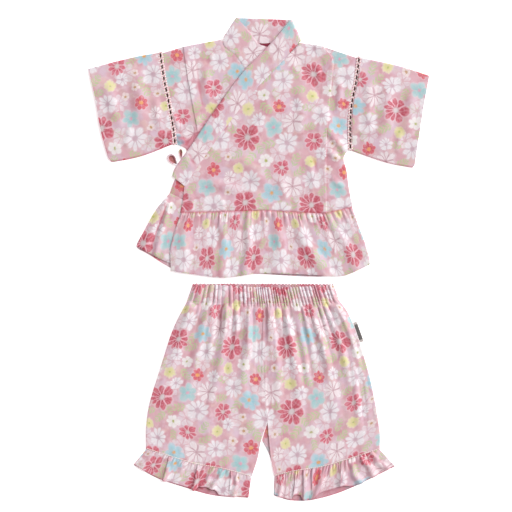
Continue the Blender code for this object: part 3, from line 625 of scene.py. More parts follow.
# the rose that painted shade darkens the cloth towards
paintedShadeTint = (0.82, 0.38, 0.45)
threadPitch = 0.5
toMm = 1000.0


def clothPlace(t):
    return t.vector("SCALE", t.out(0, "ShaderNodeUVMap", uv_map="cloth"), scale=toMm)


def makeCotton(name, printing, fadeAndShade, tint, roughness):
    # printed cotton: the print, a fine plain weave and a little unevenness in the surface
    material, t = newMaterial(name)
    place = clothPlace(t)
    printed = t.out("Color", "ShaderNodeGroup", {"Vector": place}, node_tree=printing)
    # washed towards a tint: on the wrong side this is faded print together with painted shade
    colour = t.mix(fadeAndShade, printed, tint)
    across, along, _ = t.split(place)
    warp, weft = (t.maths("SINE", thread * (2 * math.pi / threadPitch)) for thread in (across, along))
    weave = warp * weft
    colour = t.mix(t.step(weave, -1, 1), colour, t.mix(0.06, colour, (0.35, 0.2, 0.22, 1)))
    # painted shade: where the point attribute says so, in valleys and along seams, the colour is darkened
    # towards rose
    paintedShade = t.out("Fac", "ShaderNodeAttribute", attribute_name="paintedShade")
    colour = t.mix(paintedShade, colour, t.vector("MULTIPLY", colour, paintedShadeTint))
    height = weave * 0.02 + t.noise(place, 0.09, 4, 0.6) * 0.55
    rough = t.step(t.noise(place, 0.3), 0.2, 0.8) * 0.08 + (roughness - 0.04)
    t.surface(colour, rough, height, 0.001, 0.55, 0.6, **{"Sheen Weight": 0.08, "Sheen Roughness": 0.5})
    return material


def makePlain(name, colours, grain, roughness):
    # thread, and the painted shade of hollows: two close tones in a grain on the object's own coordinates
    material, t = newMaterial(name)
    place = t.vector("SCALE", t.out("Object", "ShaderNodeTexCoord"), scale=toMm)
    twist = t.out("Fac", "ShaderNodeTexWave", {"Vector": place, "Scale": grain * 0.9, "Distortion": 2.0},
                  wave_type="BANDS", bands_direction="DIAGONAL")
    mixed = t.noise(place, grain, 3, 0.6) * 0.6 + twist * 0.4
    t.surface(t.mix(t.step(mixed, 0.3, 0.7), *colours), roughness, mixed, 0.0004, 0.3)
    return material


def makeTwist(name, pale, rosyShade, pitch, slant):
    # lace thread: pale twists, with painted rosy shade in the hollows between them
    material, t = newMaterial(name)
    place = t.vector("SCALE", t.out("Object", "ShaderNodeTexCoord"), scale=toMm)
    x, y, _ = t.split(place)
    twist = t.maths("SINE", (y + x * slant) * (2 * math.pi / pitch))
    mixed = twist + (t.noise(place, 0.9) - 0.5) * 1.2
    t.surface(t.mix(t.step(mixed, -0.5, 0.5), rosyShade, pale), 0.8, twist, 0.0004, 0.5)
    return material


def makeLabel(name, main, band, thread):
    # a woven label with a pale band at each end
    material, t = newMaterial(name)
    across, along, _ = t.split(clothPlace(t))
    weave = t.maths("SINE", across * 12) * t.maths("SINE", along * 9)
    ends = t.maths("MAXIMUM", 1 - t.step(along, 3, 4.2), t.step(along, 26, 27.2))
    colour = t.mix(t.step(weave, -0.6, 0.8) * 0.35, t.mix(ends, main, band), thread)
    t.surface(colour, 0.6, weave, 0.0002, 0.4, 0.35)
    return material


printing = makePrint()
cotton = makeCotton("printedCotton", printing, 0.0, srgb(236, 214, 218), 0.56)
# the wrong side: its print washed out, and darkened to rose as painted shade
cottonInside = makeCotton("printedCottonInside", printing, 0.42, srgb(196, 140, 152), 0.75)
laceWhite = makeTwist("laceThread", srgb(242, 232, 230), srgb(222, 182, 186), 3.9, -0.45)
# painted shadow: the dark brown upper face of the back lace, seen through the front's gaps
laceShade = makePlain("laceShadow", (srgb(110, 88, 80), srgb(86, 67, 63)), 1.2, 0.95)
seamThread = makePlain("seamThread", (srgb(250, 242, 234), srgb(236, 222, 214)), 2.0, 0.7)
# painted shadow: dark crimson for the sheet in the neck's hollow
neckShade = makePlain("neckLining", (srgb(150, 62, 80), srgb(120, 44, 62)), 0.5, 0.9)
# painted shade: the rosy brown of the hollow inside each bow loop
loopHollowShade = makePlain("loopHollowShade", (srgb(194, 132, 130), srgb(166, 106, 106)), 0.4, 0.9)
labelWeave = makeLabel("wovenLabel", srgb(92, 92, 90), srgb(206, 202, 198), srgb(150, 148, 146))
print("materials ready")


# meshes

def valleys(z, closed):
    # how far each point lies below the cloth on both sides of it, from 0 to 1: the strength of the painted
    # shade in the cloth's valleys
    deep = np.zeros(z.shape)
    for axis, reach in ((1, 3), (0, 2)):
        sides = []
        for way in (-1, 1):
            total = np.zeros(z.shape)
            for step in range(1, reach + 1):
                index = np.arange(z.shape[axis]) + way * step
                index = index % z.shape[axis] if closed and axis else np.clip(index, 0, z.shape[axis] - 1)
                total += np.take(z, index, axis) / reach
            sides.append(total - z)
        deep = np.maximum(deep, np.minimum(*sides))
    return np.clip(deep * 1.3, 0.0, 1.0)


def meshFrom(name, x, y, z, u, v, materials, closed=False, shade=0.0):
    # one surface through rows of points; closed joins the last column to the first
    rows, cols = x.shape
    points = np.column_stack([x.ravel(), y.ravel(), z.ravel()]) * mm
    faces, corners = [], []
    last = cols if closed else cols - 1
    for r in range(rows - 1):
        for c in range(last):
            n = (c + 1) % cols
            faces.append((r * cols + c, (r + 1) * cols + c, (r + 1) * cols + n, r * cols + n))
            corners.append(((r, c), (r + 1, c), (r + 1, c + 1), (r, c + 1)))
    flip = 0.0                                  # the first half of each row has to look up
    for r in range(0, rows - 1, max(1, rows // 6)):
        for c in range(1, (cols // 2 if closed else cols - 1), max(1, cols // 12)):
            p, q, s = (r * cols + c), ((r + 1) * cols + c), (r * cols + c + 1)
            flip += np.cross(points[q] - points[p], points[s] - points[p])[2]
    if flip < 0:
        faces = [face[::-1] for face in faces]
        corners = [corner[::-1] for corner in corners]
    mesh = bpy.data.meshes.new(name)
    mesh.from_pydata(points.tolist(), [], faces)
    # painted shade, kept in a point attribute: deep in the cloth's valleys, plus the shade that the piece
    # gives
    paintedShade = mesh.attributes.new("paintedShade", "FLOAT", "POINT")
    deep = np.clip(valleys(z, closed) + shade, 0.0, 1.0)
    paintedShade.data.foreach_set("value", deep.astype(np.float32).ravel())
    layer = mesh.uv_layers.new(name="cloth")
    flat = [(u[r, c] * mm, v[r, c] * mm) for corner in corners for r, c in corner]
    layer.data.foreach_set("uv", np.array(flat, np.float32).ravel())
    for material in materials:
        mesh.materials.append(material)
    piece = bpy.data.objects.new(name, mesh)
    bpy.context.collection.objects.link(piece)
    return piece


def wrapped(columns):
    # the first column once more, where a closed surface meets itself
    return np.concatenate([columns, columns[:, :1]], 1)


def activate(piece):
    bpy.ops.object.select_all(action="DESELECT")
    piece.select_set(True)
    bpy.context.view_layer.objects.active = piece


def thicken(piece, thick, offset=-1.0, insideSlot=0):
    activate(piece)
    wall = piece.modifiers.new("wall", "SOLIDIFY")
    wall.thickness = thick * mm
    wall.offset = offset
    wall.use_even_offset = False
    wall.use_quality_normals = True
    wall.material_offset = insideSlot
    bpy.ops.object.modifier_apply(modifier="wall")
    piece.data.shade_smooth()
    piece.data.set_sharp_from_angle(angle=math.radians(55))
    piece.select_set(False)
    return piece


def settle(piece, settings):
    # cloth has no joints: each piece rides on the one body
    nodes, flat, area = settings.get("nodes"), settings.get("flat"), settings.get("area")
    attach(piece, "root")
    if nodes:
        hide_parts(*nodes)
    return piece


def printPlace(x, y, settings):
    # where a piece's cloth lay in the printed length
    turn = math.radians(settings.get("turn", 0.0))
    c, s = math.cos(turn), math.sin(turn)
    dx, dy = settings.get("shift", (0.0, 0.0))
    stretchX, stretchY = settings.get("stretch", (1.0, 1.0))
    return (x * c + y * s) * stretchX + dx, (y * c - x * s) * stretchY + dy


# the lines of the lap, the neck, the side seams and the tucks

laceLineRight = [(-143, 299), (-137, 259), (-131, 230), (-125, 196), (-121, 165)]
laceLineLeft = [(146, 292), (141, 254), (136, 230), (133, 201), (133, 157)]
neckline = [(-50, 320), (5, 308), (5, 308), (60, 314)]
underInner = [(118, 143), (104, 168), (69, 221), (40, 268), (21, 303), (9, 307.8), (0, 311.5), (-15, 331),
              (-31, 349)]
underOuter = [(103, 118), (92, 136), (57, 188), (15, 240), (-19, 275), (-36, 298), (-46, 304.5),
              (-51, 312), (-50, 320)]
topInner = [(46, 346), (20, 314), (-20, 273), (-59, 221), (-96, 166), (-121, 131), (-125, 119)]
topOuter = [(60, 314), (34, 285), (-5, 244), (-47, 191), (-91, 129), (-107, 105)]
sideRight = [(-139.5, 298), (-133, 259), (-127, 230), (-121, 196), (-117, 165), (-117, 165), (-104, 157),
             (-112, 128), (-121, 114), (-128, 95)]
sideLeft = [(142, 291), (137, 254), (132, 230), (129, 201), (129, 157), (129, 157), (123, 146), (127, 128),
            (131, 99), (136, 75)]
tuckRight = [(-109, 307), (-104, 270), (-96, 225), (-88, 181), (-84, 130), (-88, 76)]
tuckLeft = [(94.5, 307), (108, 288), (105, 252), (101, 208), (98, 157), (98, 66.6)]
# the right front's edge under the lap; the left front comes down a layer this far past it, over this width
lapStart, lapEnd, lapEdge, lapRamp = (25, 290), (118, 143), 14.0, 14.0


def lapBase(x, y):
    # underside of the left front: two layers up over the right front, one layer past its edge
    (startX, startY), (endX, endY) = lapStart, lapEnd
    runX, runY = endX - startX, endY - startY
    past = ((x - startX) * -runY + (y - startY) * runX) / math.hypot(runX, runY)
    return thirdZ - (thirdZ - secondZ) * ease((past - lapEdge) / lapRamp)


def lapDistance(x, y):
    # how far a point lies outside the lap's edge, where the right front shows
    away, side, _ = nearLine(x, y, topInner)
    return away * -side


def reachOut(grid, **sides):
    # cloth that runs on into its seams: each named side is carried outwards by so many mm
    for side, amount in sides.items():
        edge, inner = (0, 1) if side in ("left", "top") else (-1, -2)
        x, y = (grid.x, grid.y) if side in ("top", "bottom") else (grid.x.T, grid.y.T)
        stepX, stepY = x[edge] - x[inner], y[edge] - y[inner]
        length = np.hypot(stepX, stepY)
        x[edge] += stepX / length * amount
        y[edge] += stepY / length * amount


def panelPiece(settings, low, lift, materials=(cotton, cottonInside), shade=0.0):
    # a flat panel of cloth with its creases in it
    grid = settings["grid"]
    x, y = grid.x, grid.y
    z = low + clothThick + lift
    if "cut" in settings:                       # gathered cloth keeps the width that it was cut to
        wide, tall = settings["cut"]
        u, v = printPlace(settings.get("across", grid.u) * wide, -grid.v * tall, settings)
    else:
        u, v = printPlace(x, y, settings)
    piece = meshFrom(settings["name"], x, y, z, u, v, materials, shade=shade)
    return thicken(piece, settings.get("thick", clothThick), insideSlot=1)


# the back panels, which show only in narrow strips past the edges of the fronts

backs = [
    dict(name="bodyBack", nodes=("body_back",), flat=(0.30, 0.25), area=0.062, density=5.0, rows=96,
         weights=[3, 3, 3, 3], curved=False, shift=(31, 12), rails=[
             sideRight,
             [(-51, 318.5), (-54, 240), (-58, 160), (-70, 74)],
             [(5, 307.2), (5, 240), (5, 160), (5, 70)],
             [(61, 312.5), (70, 240), (75, 160), (80, 67)],
             sideLeft]),
    dict(name="peplumBack", nodes=("peplum_back",), flat=(0.42, 0.092), area=0.0386, density=6.0, rows=34,
         weights=[3, 3, 3, 3], curved=True, shift=(0, 60), stretch=(1.3, 1), rails=[
             [(-129, 93.5), (-150, 69), (-166, 40), (-177, 17), (-165, 9)],
             [(-70, 73), (-85, 30), (-110, -20)],
             [(5, 69), (5, 20), (1, -22.5)],
             [(80, 66), (90, 20), (101, -25.5)],
             [(136, 74), (143, 53), (154, 24), (162, -8)]]),
]
legRightRails = [
    [(-104, -62.6), (-123, -100), (-140, -151), (-158, -210), (-163, -244), (-163, -276)],
    [(-72, -64.4), (-95, -150), (-118, -230), (-128, -287)],
    [(-49, -65.7), (-60, -130), (-75, -210), (-92, -298)],
    [(-20, -65.9), (-26, -130), (-38, -210), (-52, -305)],
    [(9.8, -65.9), (9, -150), (9.5, -204), (12.6, -237), (12.6, -237), (3, -266), (-1, -288),
     (-10, -316)],
]
legLeftRails = [
    [(10.2, -65.9), (9.4, -150), (10.2, -204), (13.2, -237), (13.2, -237), (18, -288), (23, -315)],
    [(38, -65.8), (45, -130), (50, -210), (55, -308)],
    [(66, -64.8), (80, -130), (90, -210), (93, -302)],
    [(90, -63.4), (110, -130), (124, -210), (128, -292)],
    [(117, -60.6), (131, -81), (149, -129), (165, -188), (176, -253), (176, -276)],
]
crotchBackLeft = [(10.2, -65.9), (9.4, -150), (10.2, -204), (13.2, -237), (13.2, -237), (5, -264),
                  (5, -264), (14, -281), (18, -292), (23, -315)]
backs += [
    dict(name="legBackRight", nodes=("leg_back_right",), flat=(0.22, 0.25), area=0.046, density=4.0,
         rows=60, weights=[4, 4, 4, 4], curved=True, shift=(12, 40), stretch=(1.2, 1),
         rails=legRightRails),
    dict(name="legBackLeft", nodes=("leg_back_left",), flat=(0.22, 0.25), area=0.046, density=4.0,
         rows=90, weights=[4, 4, 4, 4], curved=True, shift=(75, 20), stretch=(1.2, 1),
         rails=[crotchBackLeft] + legLeftRails[1:]),
]
for settings in backs:
    settings["grid"] = railGrid(settings["rails"], settings["weights"], settings["density"],
                                even(settings["rows"]), settings["curved"])
    piece = panelPiece(settings, backZ, np.zeros(settings["grid"].x.shape), (cottonInside, cotton))
    settle(piece, settings)
print("backs ready")

# the fronts: the shoulder tuck is a fold that faces outwards

frontRight = dict(
    name="frontRight", nodes=("front_right",), flat=(0.27, 0.25), area=0.046, shift=(8, 40), turn=2,
    reach=dict(left=0.5, right=3.3, bottom=0.3), droops=[(0.35, 1.6, "tlb"), (0.6, 3.4, "r")],
    grid=railGrid([
        sideRight,
        tuckRight,
        [(-97, 309.5), (-92, 270), (-84, 225), (-75, 181), (-70, 130), (-70, 74)],
        [(-52.5, 317.6), (-55, 311.5), (-49, 303.4), (-37.6, 296.2), (-20.6, 273.3), (13.6, 238.6),
         (55.6, 186.6), (90.6, 134.6), (102, 117.5), (102, 117.5), (110, 100), (116, 71)],
    ], [4, 2, 10], 4.0, even(110), creaseAt=(0.97, 1.03)),
    creases=[
        crease(1.2, 11, (-78, 286), (-76, 250), (-72, 215)),
        crease(1.2, 8, (-128, 215), (-120, 198), (-112, 182)),
        crease(1.0, 9, (-100, 186), (-92, 196), (-84, 205)),
        crease(0.9, 5, (-131, 186), (-112, 178), (-98, 190), kind="sharp"),
        crease(1.1, 5, (-127, 176), (-112, 170), (-102, 172)),
        crease(0.8, 8, (-76, 222), (-64, 235), (-56, 246)),
        crease(0.5, 6, (-70, 300), (-66, 280)),
        crease(-1.0, 5, (-110, 171), (-98, 166), (-92, 158), fade=(0.3, 0.1)),
    ],
    shaded=[([(-114, 174), (-101, 171), (-88, 178)], 7.0), ([(-108, 168), (-96, 164), (-92, 157)], 6.0)])
frontLeft = dict(
    name="frontLeft", nodes=("front_left",), flat=(0.29, 0.25), area=0.048, shift=(64, 118), turn=-1,
    reach=dict(left=1.1, right=0.5, bottom=0.35), droops=[(0.45, 1.8)],
    grid=railGrid([
        [(61, 312.5), (34.6, 284), (-4.4, 243.4), (-46.4, 190.4), (-90.4, 128.4), (-106.4, 104.4),
         (-106.4, 104.4), (-109, 82), (-112, 67)],
        [(75, 311), (40, 230), (10, 150), (5, 70)],
        [(93, 308), (92, 270), (89, 215), (86, 150), (86, 66.3)],
        tuckLeft,
        sideLeft,
    ], [9, 5, 2, 3], 5.5, even(110), creaseAt=(2.97, 3.012)),
    creases=[
        crease(1.35, 8, (99, 192), (113, 170), (128, 156), fade=(0.2, 0.15)),
        crease(-0.9, 5, (99, 176), (110, 160), (122, 149), fade=(0.2, 0.15)),
        crease(1.4, 8, (99, 156), (108, 150), (118, 142)),
        crease(1.1, 15, (22, 232), (0, 196), (-20, 165)),
        crease(1.1, 13, (58, 262), (62, 210), (60, 160)),
        crease(1.1, 12, (-78, 112), (-48, 104), (-20, 95)),
        crease(1.0, 10, (28, 122), (36, 100), (42, 78)),
        crease(1.2, 8, (118, 264), (117, 230), (115, 205)),
        crease(0.9, 14, (-30, 150), (-5, 128), (10, 96)),
        crease(0.9, 9, (70, 150), (78, 120), (80, 84)),
        crease(0.9, 7, (104, 120), (116, 108), (128, 104)),
        crease(0.7, 7, (-104, 100), (-96, 84), (-98, 68), fade=(0.2, 0.0)),
        crease(0.7, 7, (84, 286), (88, 262), (87, 240)),
        crease(0.6, 5, (-60, 88), (-52, 80), (-50, 68), fade=(0.3, 0.0)),
        crease(0.5, 4, (-8, 84), (-4, 76), (-4, 70), fade=(0.3, 0.0)),
        crease(0.6, 5, (60, 86), (56, 76), (55, 68), fade=(0.3, 0.0)),
    ])
tuck = dict(height=1.25, fold=0.35, flat=2.0, width=15.0)


def tuckForm(inward):
    # the folded edge stands up at once, and the tuck sinks back over its width
    near, far = tuck["flat"], tuck["width"]
    return np.where(inward > -tuck["fold"], ease((inward + tuck["fold"]) / (2 * tuck["fold"]))
                    * (1 - 0.45 * ease((inward - near) / 9) - 0.55 * ease((inward - far + 4) / 4)), 0.0)


def softCloth(grid, seed, amount, size=38.0, stretch=(1.0, 1.0)):
    # cloth that was never ironed quite flat: broad hollows, with finer ones in them
    broad = clothNoise(grid.x, grid.y, size, seed, stretch)
    fine = clothNoise(grid.x, grid.y, size * 0.34, seed + 3.7, stretch)
    return amount * (broad + 0.4 * fine)


def seamEdges(settings):
    # a panel runs on into its seams, and turns down in them
    reachOut(settings["grid"], **settings["reach"])
    return sum(seamDroop(settings["grid"], *droop) for droop in settings["droops"])


def roundCorner(grid, corner, firstWay, secondWay, radius):
    # a corner of a flat panel, rounded between its two edges
    corner = np.array(corner, float)
    one, two = (np.array(way, float) - corner for way in (firstWay, secondWay))
    basis = np.linalg.inv(np.column_stack([one / np.hypot(*one), two / np.hypot(*two)]))
    ways = np.linalg.inv(basis)
    a = radius - (basis[0, 0] * (grid.x - corner[0]) + basis[0, 1] * (grid.y - corner[1]))
    b = radius - (basis[1, 0] * (grid.x - corner[0]) + basis[1, 1] * (grid.y - corner[1]))
    near = (a > 0) & (b > 0)
    away = np.maximum(np.hypot(a, b), 1e-6)
    pull = np.where(near, np.maximum(a, b) / away, 1.0)
    shiftA, shiftB = a - a * pull, b - b * pull
    grid.x += ways[0, 0] * shiftA + ways[0, 1] * shiftB
    grid.y += ways[1, 0] * shiftA + ways[1, 1] * shiftB


def seamDroop(grid, depth, reach, sides="tblr"):
    # cloth turns down into its seams: top, bottom, left and right of the grid
    def run(axis):
        steps = np.hypot(np.diff(grid.x, axis=axis), np.diff(grid.y, axis=axis))
        return np.concatenate([np.zeros_like(grid.x.take([0], axis)), np.cumsum(steps, axis)], axis)
    down, across = run(0), run(1)
    aways = dict(l=across, r=across[:, -1:] - across, t=down, b=down[-1:] - down)
    return -depth * (1 - ease(np.min([aways[side] for side in sides], axis=0) / reach))


# right front
grid = frontRight["grid"]
drooping = seamEdges(frontRight)
besideLap = lapDistance(grid.x, grid.y)
showing = ease((besideLap - 2.2) / 4.5)
away, side, _ = nearLine(grid.x, grid.y, tuckRight)
lift = (1.5 * creaseLift(grid.x, grid.y, frontRight["creases"]) + tuck["height"] * tuckForm(away * side)
        + softCloth(grid, 2.0, 0.8)) * showing
lift = lift + layerLift + drooping
# painted shade: a line along the lap's edge, deep pink in the lap's lower corner, and along the shaded
# creases
lapCornerShade = ease((228 - grid.y) / 40) * ease((grid.y - 148) / 8)
shade = 0.5 * (1 - ease(besideLap / 3)) + 0.65 * (1 - ease((besideLap - 2) / 9)) * lapCornerShade
for line, width in frontRight["shaded"]:
    shade = shade + bump(nearLine(grid.x, grid.y, line)[0], width)
frontRightPiece = panelPiece(frontRight, secondZ, np.maximum(lift, -0.5 + layerLift), shade=shade)
settle(frontRightPiece, frontRight)

# left front
grid = frontLeft["grid"]
drooping = seamEdges(frontLeft)
away, side, _ = nearLine(grid.x, grid.y, tuckLeft)
lift = (1.6 * creaseLift(grid.x, grid.y, frontLeft["creases"]) + tuck["height"] * tuckForm(away * -side)
        + softCloth(grid, 5.0, 0.85)) + layerLift + drooping
# a line of painted shade along the waist seam, on the bottom row
frontLeftPiece = panelPiece(frontLeft, lapBase(grid.x, grid.y), np.maximum(lift, -0.4 + layerLift),
                            shade=0.9 * (grid.v > 0.999))
settle(frontLeftPiece, frontLeft)
print("fronts ready")


# the collar: one padded band round the neck and down both front edges

# the places of the points across the band, closest near its edges
bandShares = [0.0, 0.015, 0.035, 0.06, 0.1, 0.16, 0.24, 0.33, 0.42, 0.5, 0.58, 0.67, 0.76, 0.84, 0.9, 0.94,
              0.97, 0.985, 1.0]


def bandPiece(settings, stations):
    # stations: two edge points and the band's normal there, all in mm
    rows = len(stations)
    neckStart, topStart = collarRows["under"], rows - collarRows["top"] - 1
    x, y, z = (np.zeros((rows, len(bandShares))) for _ in range(3))
    length = [0.0]
    for (p, q, _), (p2, q2, _) in zip(stations, stations[1:]):
        length.append(length[-1] + ((p2 + q2) / 2 - (p + q) / 2).length)
    u, v = np.zeros(x.shape), np.zeros(x.shape)
    for r, (p, q, normal) in enumerate(stations):
        slack, full = settings["crown"]
        fullness = slack + (full - slack) * ease((r - neckStart) / 40)
        flat = abs(normal.z) * (1 - ease((r - neckStart + 10) / 8) + ease((r - topStart) / 8))
        for c, s in enumerate(bandShares):
            fromFold, fromSeam = s * (q - p).length, (1 - s) * (q - p).length
            swell = fullness * (1 - (2 * s - 1) ** 6)
            around = max(0.0, 1 - fromFold / settings["foldReach"])
            swell -= flat * settings["foldDrop"] * (1 - math.sqrt(1 - around * around))
            swell -= flat * settings["seamDrop"] * (1 - ease(fromSeam / settings["seamReach"]))
            for place, wide, tall, steep in settings["folds"]:
                away = abs(length[r] - place - steep * (s - 0.5)) / wide
                if away < 1:
                    swell += tall * (0.5 + 0.5 * math.cos(math.pi * away)) * math.sin(math.pi * s)
            point = p.lerp(q, s) + normal * swell
            x[r, c], y[r, c], z[r, c] = point.x, point.y, max(point.z, settings["thick"] / 2)
            u[r, c], v[r, c] = length[r], s * (q - p).length
    u, v = printPlace(u, v, settings)
    return thicken(meshFrom(settings["name"], x, y, z, u, v, (cotton,)), settings["thick"], offset=0.0)


def bandRun(firstEdge, secondEdge, count, height):
    # the band lies flat between its two edges
    stations = []
    for p, q in zip(alongLine(firstEdge, even(count)), alongLine(secondEdge, even(count))):
        stations.append((Vector((*p, height)), Vector((*q, height)), Vector((0, 0, 1))))
    return stations


def bandFold(p, q, outward, fromZ, toZ):
    # the band turns over at the neck, in a half circle
    steps = collarRows["fold"]
    radius, middle = abs(toZ - fromZ) / 2, (toZ + fromZ) / 2
    turn = math.copysign(1, toZ - fromZ)
    stations = []
    for step in range(1, steps):
        angle = turn * (-math.pi / 2 + math.pi * step / steps)
        normal = Vector((outward.x * math.cos(angle), outward.y * math.cos(angle), math.sin(angle)))
        stations.append((Vector((p[0], p[1], middle)) + normal * radius,
                         Vector((q[0], q[1], middle)) + normal * radius, normal))
    return stations


def acrossLine(p, q, behind):
    # the direction square to a line from p to q, away from the point behind it
    run = (Vector(q) - Vector(p)).normalized()
    square = Vector((-run.y, run.x))
    return -square if square.dot(Vector(behind) - Vector(p)) > 0 else square


collar = dict(
    name="collarBand", nodes=("collar",), flat=(0.028, 0.86), area=0.0236, thick=0.8, crown=(0.15, 0.7),
    shift=(96, 112), foldDrop=0.5, foldReach=1.4, seamDrop=0.3, seamReach=1.6, endSink=1.0,
    folds=[(262, 7, 0.5, 8), (276, 5, -0.4, -6), (300, 8, 0.55, 5), (322, 6, 0.5, -8), (392, 6, 0.4, 6),
           (560, 9, 0.5, 12), (598, 4, -0.7, 6), (606, 6, 0.8, 8)])
collarRows = dict(under=70, fold=9, neck=28, top=84)
underMid, topMid, backMid = secondZ + 0.6, thirdZ + 1.5, backZ + 0.45
leftEnd, rightEnd, neckMiddle = (underInner[-1], underOuter[-1]), (topInner[0], topOuter[0]), (5, 330)
stations = bandRun(underInner, underOuter, collarRows["under"], underMid)
stations += bandFold(*leftEnd, acrossLine(*leftEnd, neckMiddle), underMid, backMid)
stations += bandRun([leftEnd[0], rightEnd[0]], neckline, collarRows["neck"], backMid)
stations += bandFold(*rightEnd, acrossLine(*rightEnd, neckMiddle), backMid, topMid)
topRun = bandRun(topInner, topOuter, collarRows["top"], topMid)
for place, (p, q, _) in enumerate(topRun):      # the band's lower end lies down on the front
    sink = collar["endSink"] * ease((place / collarRows["top"] - 0.80) / 0.16)
    p.z -= sink
    q.z -= sink
stations += topRun
collarPiece = bandPiece(collar, stations)

# a dark crimson sheet painted as the shadow in the hollow of the neck, between the back of the collar and the
# right front's edge
neckHollow = dict(name="neckLining", z=1.35, sag=0.25, thick=0.3,
                  upper=[(-5.5, 314.2), (1, 312.6), (8, 312), (15, 312.6), (20.5, 314.2)],
                  lower=[(-5, 312.0), (1, 308.5), (8, 305.0), (15, 307.0), (20, 311.5)])
upper, lower = (alongLine(neckHollow[edge], even(22)) for edge in ("upper", "lower"))
down = even(5)[:, None]
x = upper[:, 0] + (lower[:, 0] - upper[:, 0]) * down
y = upper[:, 1] + (lower[:, 1] - upper[:, 1]) * down
z = neckHollow["z"] - neckHollow["sag"] * (1 - 2 * np.abs(down - 0.5)) + np.zeros(x.shape)
neckPiece = thicken(meshFrom(neckHollow["name"], x, y, z, x, y, (neckShade,)), neckHollow["thick"])
settle(neckPiece, {})
settle(collarPiece, collar)
print("collar ready")


# tubes that lie flat: sleeves, waistband and ruffles

sideSteps, sideBulge = 6, 1.3


def turnRound(start, end, inside):
    # a tube's round side, from its upper run down to its lower one
    way = Vector((start.x - inside.x, start.y - inside.y, 0)).normalized()
    half, points = (start.z - end.z) / 2, []
    for step in range(1, sideSteps):
        angle = math.pi * step / sideSteps
        between = end.lerp(start, 0.5 + 0.5 * math.cos(angle))
        between.z = (start.z + end.z) / 2 + half * math.cos(angle)
        points.append(between + way * min(half, sideBulge) * math.sin(angle))
    return points


def tubePiece(settings, upper, lower, lift):
    # rings: the upper run over the layer gap, a round side, the lower run on the surface, a round side
    top = secondZ + layerLift + clothThick + lift
    rings = []
    for r in range(upper.x.shape[0]):
        over = [Vector(place) for place in zip(upper.x[r], upper.y[r], top[r])]
        under = [Vector((x, y, backZ)) for x, y in zip(lower.x[r], lower.y[r])]
        ring = over + turnRound(over[-1], under[-1], over[-2]) + under[::-1]
        rings.append(ring + turnRound(over[0], under[0], over[1])[::-1])
    x, y, z = (np.array([[p[axis] for p in ring] for ring in rings]) for axis in range(3))
    if "cut" in settings:
        wide, tall = settings["cut"]
        sides = np.arange(1, sideSteps)
        around = np.concatenate([upper.u[0] * wide, wide + sides,
                                 wide + sideSteps + (1 - lower.u[0][::-1]) * wide,
                                 2 * wide + sideSteps + sides, [2 * (wide + sideSteps)]])
        u, v = np.broadcast_arrays(around[None, :], -upper.v[:, :1] * tall)
    else:
        u, v = wrapped(x), wrapped(y)
    u, v = printPlace(u, v, settings)
    shade = np.full(x.shape, settings.get("shade", 0.0))
    last, first = upper.x.shape[1] - 1, upper.x.shape[1] + sideSteps - 1
    inside = slice(first, first + lower.x.shape[1])
    if "gaps" in settings:                      # painted shade on a ruffle's inside, and a line of it along its narrow hem
        shade[:, inside] = 0.55
        shade[-1] = 0.8
    if "backStripes" in settings:               # painted shade in the back's gathers, seen over the front's edge
        shade[:, inside] += settings["backStripes"][::-1]
    if "lowSeam" in settings:                   # the seam under a sleeve lies in its own shade
        low = range(last, first) if y[:, last].mean() < y[:, 0].mean() else range(1 - sideSteps, 1)
        shade[:, list(low)] = settings["lowSeam"]
    piece = meshFrom(settings["name"], x, y, z, u, v, (cotton, cottonInside), closed=True, shade=shade)
    return thicken(piece, settings.get("thick", 0.7), insideSlot=1)


sleeves = [
    dict(name="sleeveRight", nodes=("sleeve_right",), flat=(0.30, 0.105), area=0.0295, shift=(20, 60),
         turn=-12, lowSeam=0.65, armhole="bottom", seed=9.0,
         corner=((-216.6, 140), (-229, 186), (-170, 149.5), 7.0), rails=[
             [(-247, 274), (-238, 237), (-229, 186), (-216.6, 140)],
             [(-182, 290.6), (-180, 240), (-176, 195), (-170, 149.5)],
             [(-146.5, 297), (-140.4, 259), (-134.4, 230), (-128.4, 196), (-124.4, 167)]],
         creases=[
             crease(1.4, 15, (-226, 264), (-212, 225), (-200, 178)),
             crease(1.6, 16, (-180, 282), (-174, 235), (-168, 180)),
             crease(1.0, 9, (-150, 238), (-147, 210), (-143, 185)),
             crease(1.1, 7, (-160, 172), (-148, 178), (-136, 186)),
             crease(0.7, 8, (-236, 200), (-222, 196), (-206, 200)),
             crease(0.9, 8, (-196, 160), (-188, 176), (-186, 196))]),
    dict(name="sleeveLeft", nodes=("sleeve_left",), flat=(0.30, 0.105), area=0.0295, shift=(95, 20),
         turn=10, lowSeam=0.5, armhole="top", seed=10.0,
         corner=((226, 132.4), (229.6, 157), (186, 140), 4.0), rails=[
             [(149.4, 290), (144.4, 254), (139.4, 230), (136.4, 201), (136.4, 157)],
             [(205, 277.6), (200, 230), (194, 185), (186, 140)],
             [(247.4, 264), (238.6, 215), (229.6, 157), (226, 132.4)]],
         creases=[
             crease(1.3, 12, (161, 264), (160, 220), (157, 180)),
             crease(1.6, 16, (190, 264), (186, 215), (180, 165)),
             crease(1.4, 14, (223, 247), (218, 205), (212, 165)),
             crease(0.9, 8, (146, 176), (160, 186), (172, 192)),
             crease(0.9, 8, (200, 150), (204, 170), (203, 190))]),
]
sleevePuff = 1.6
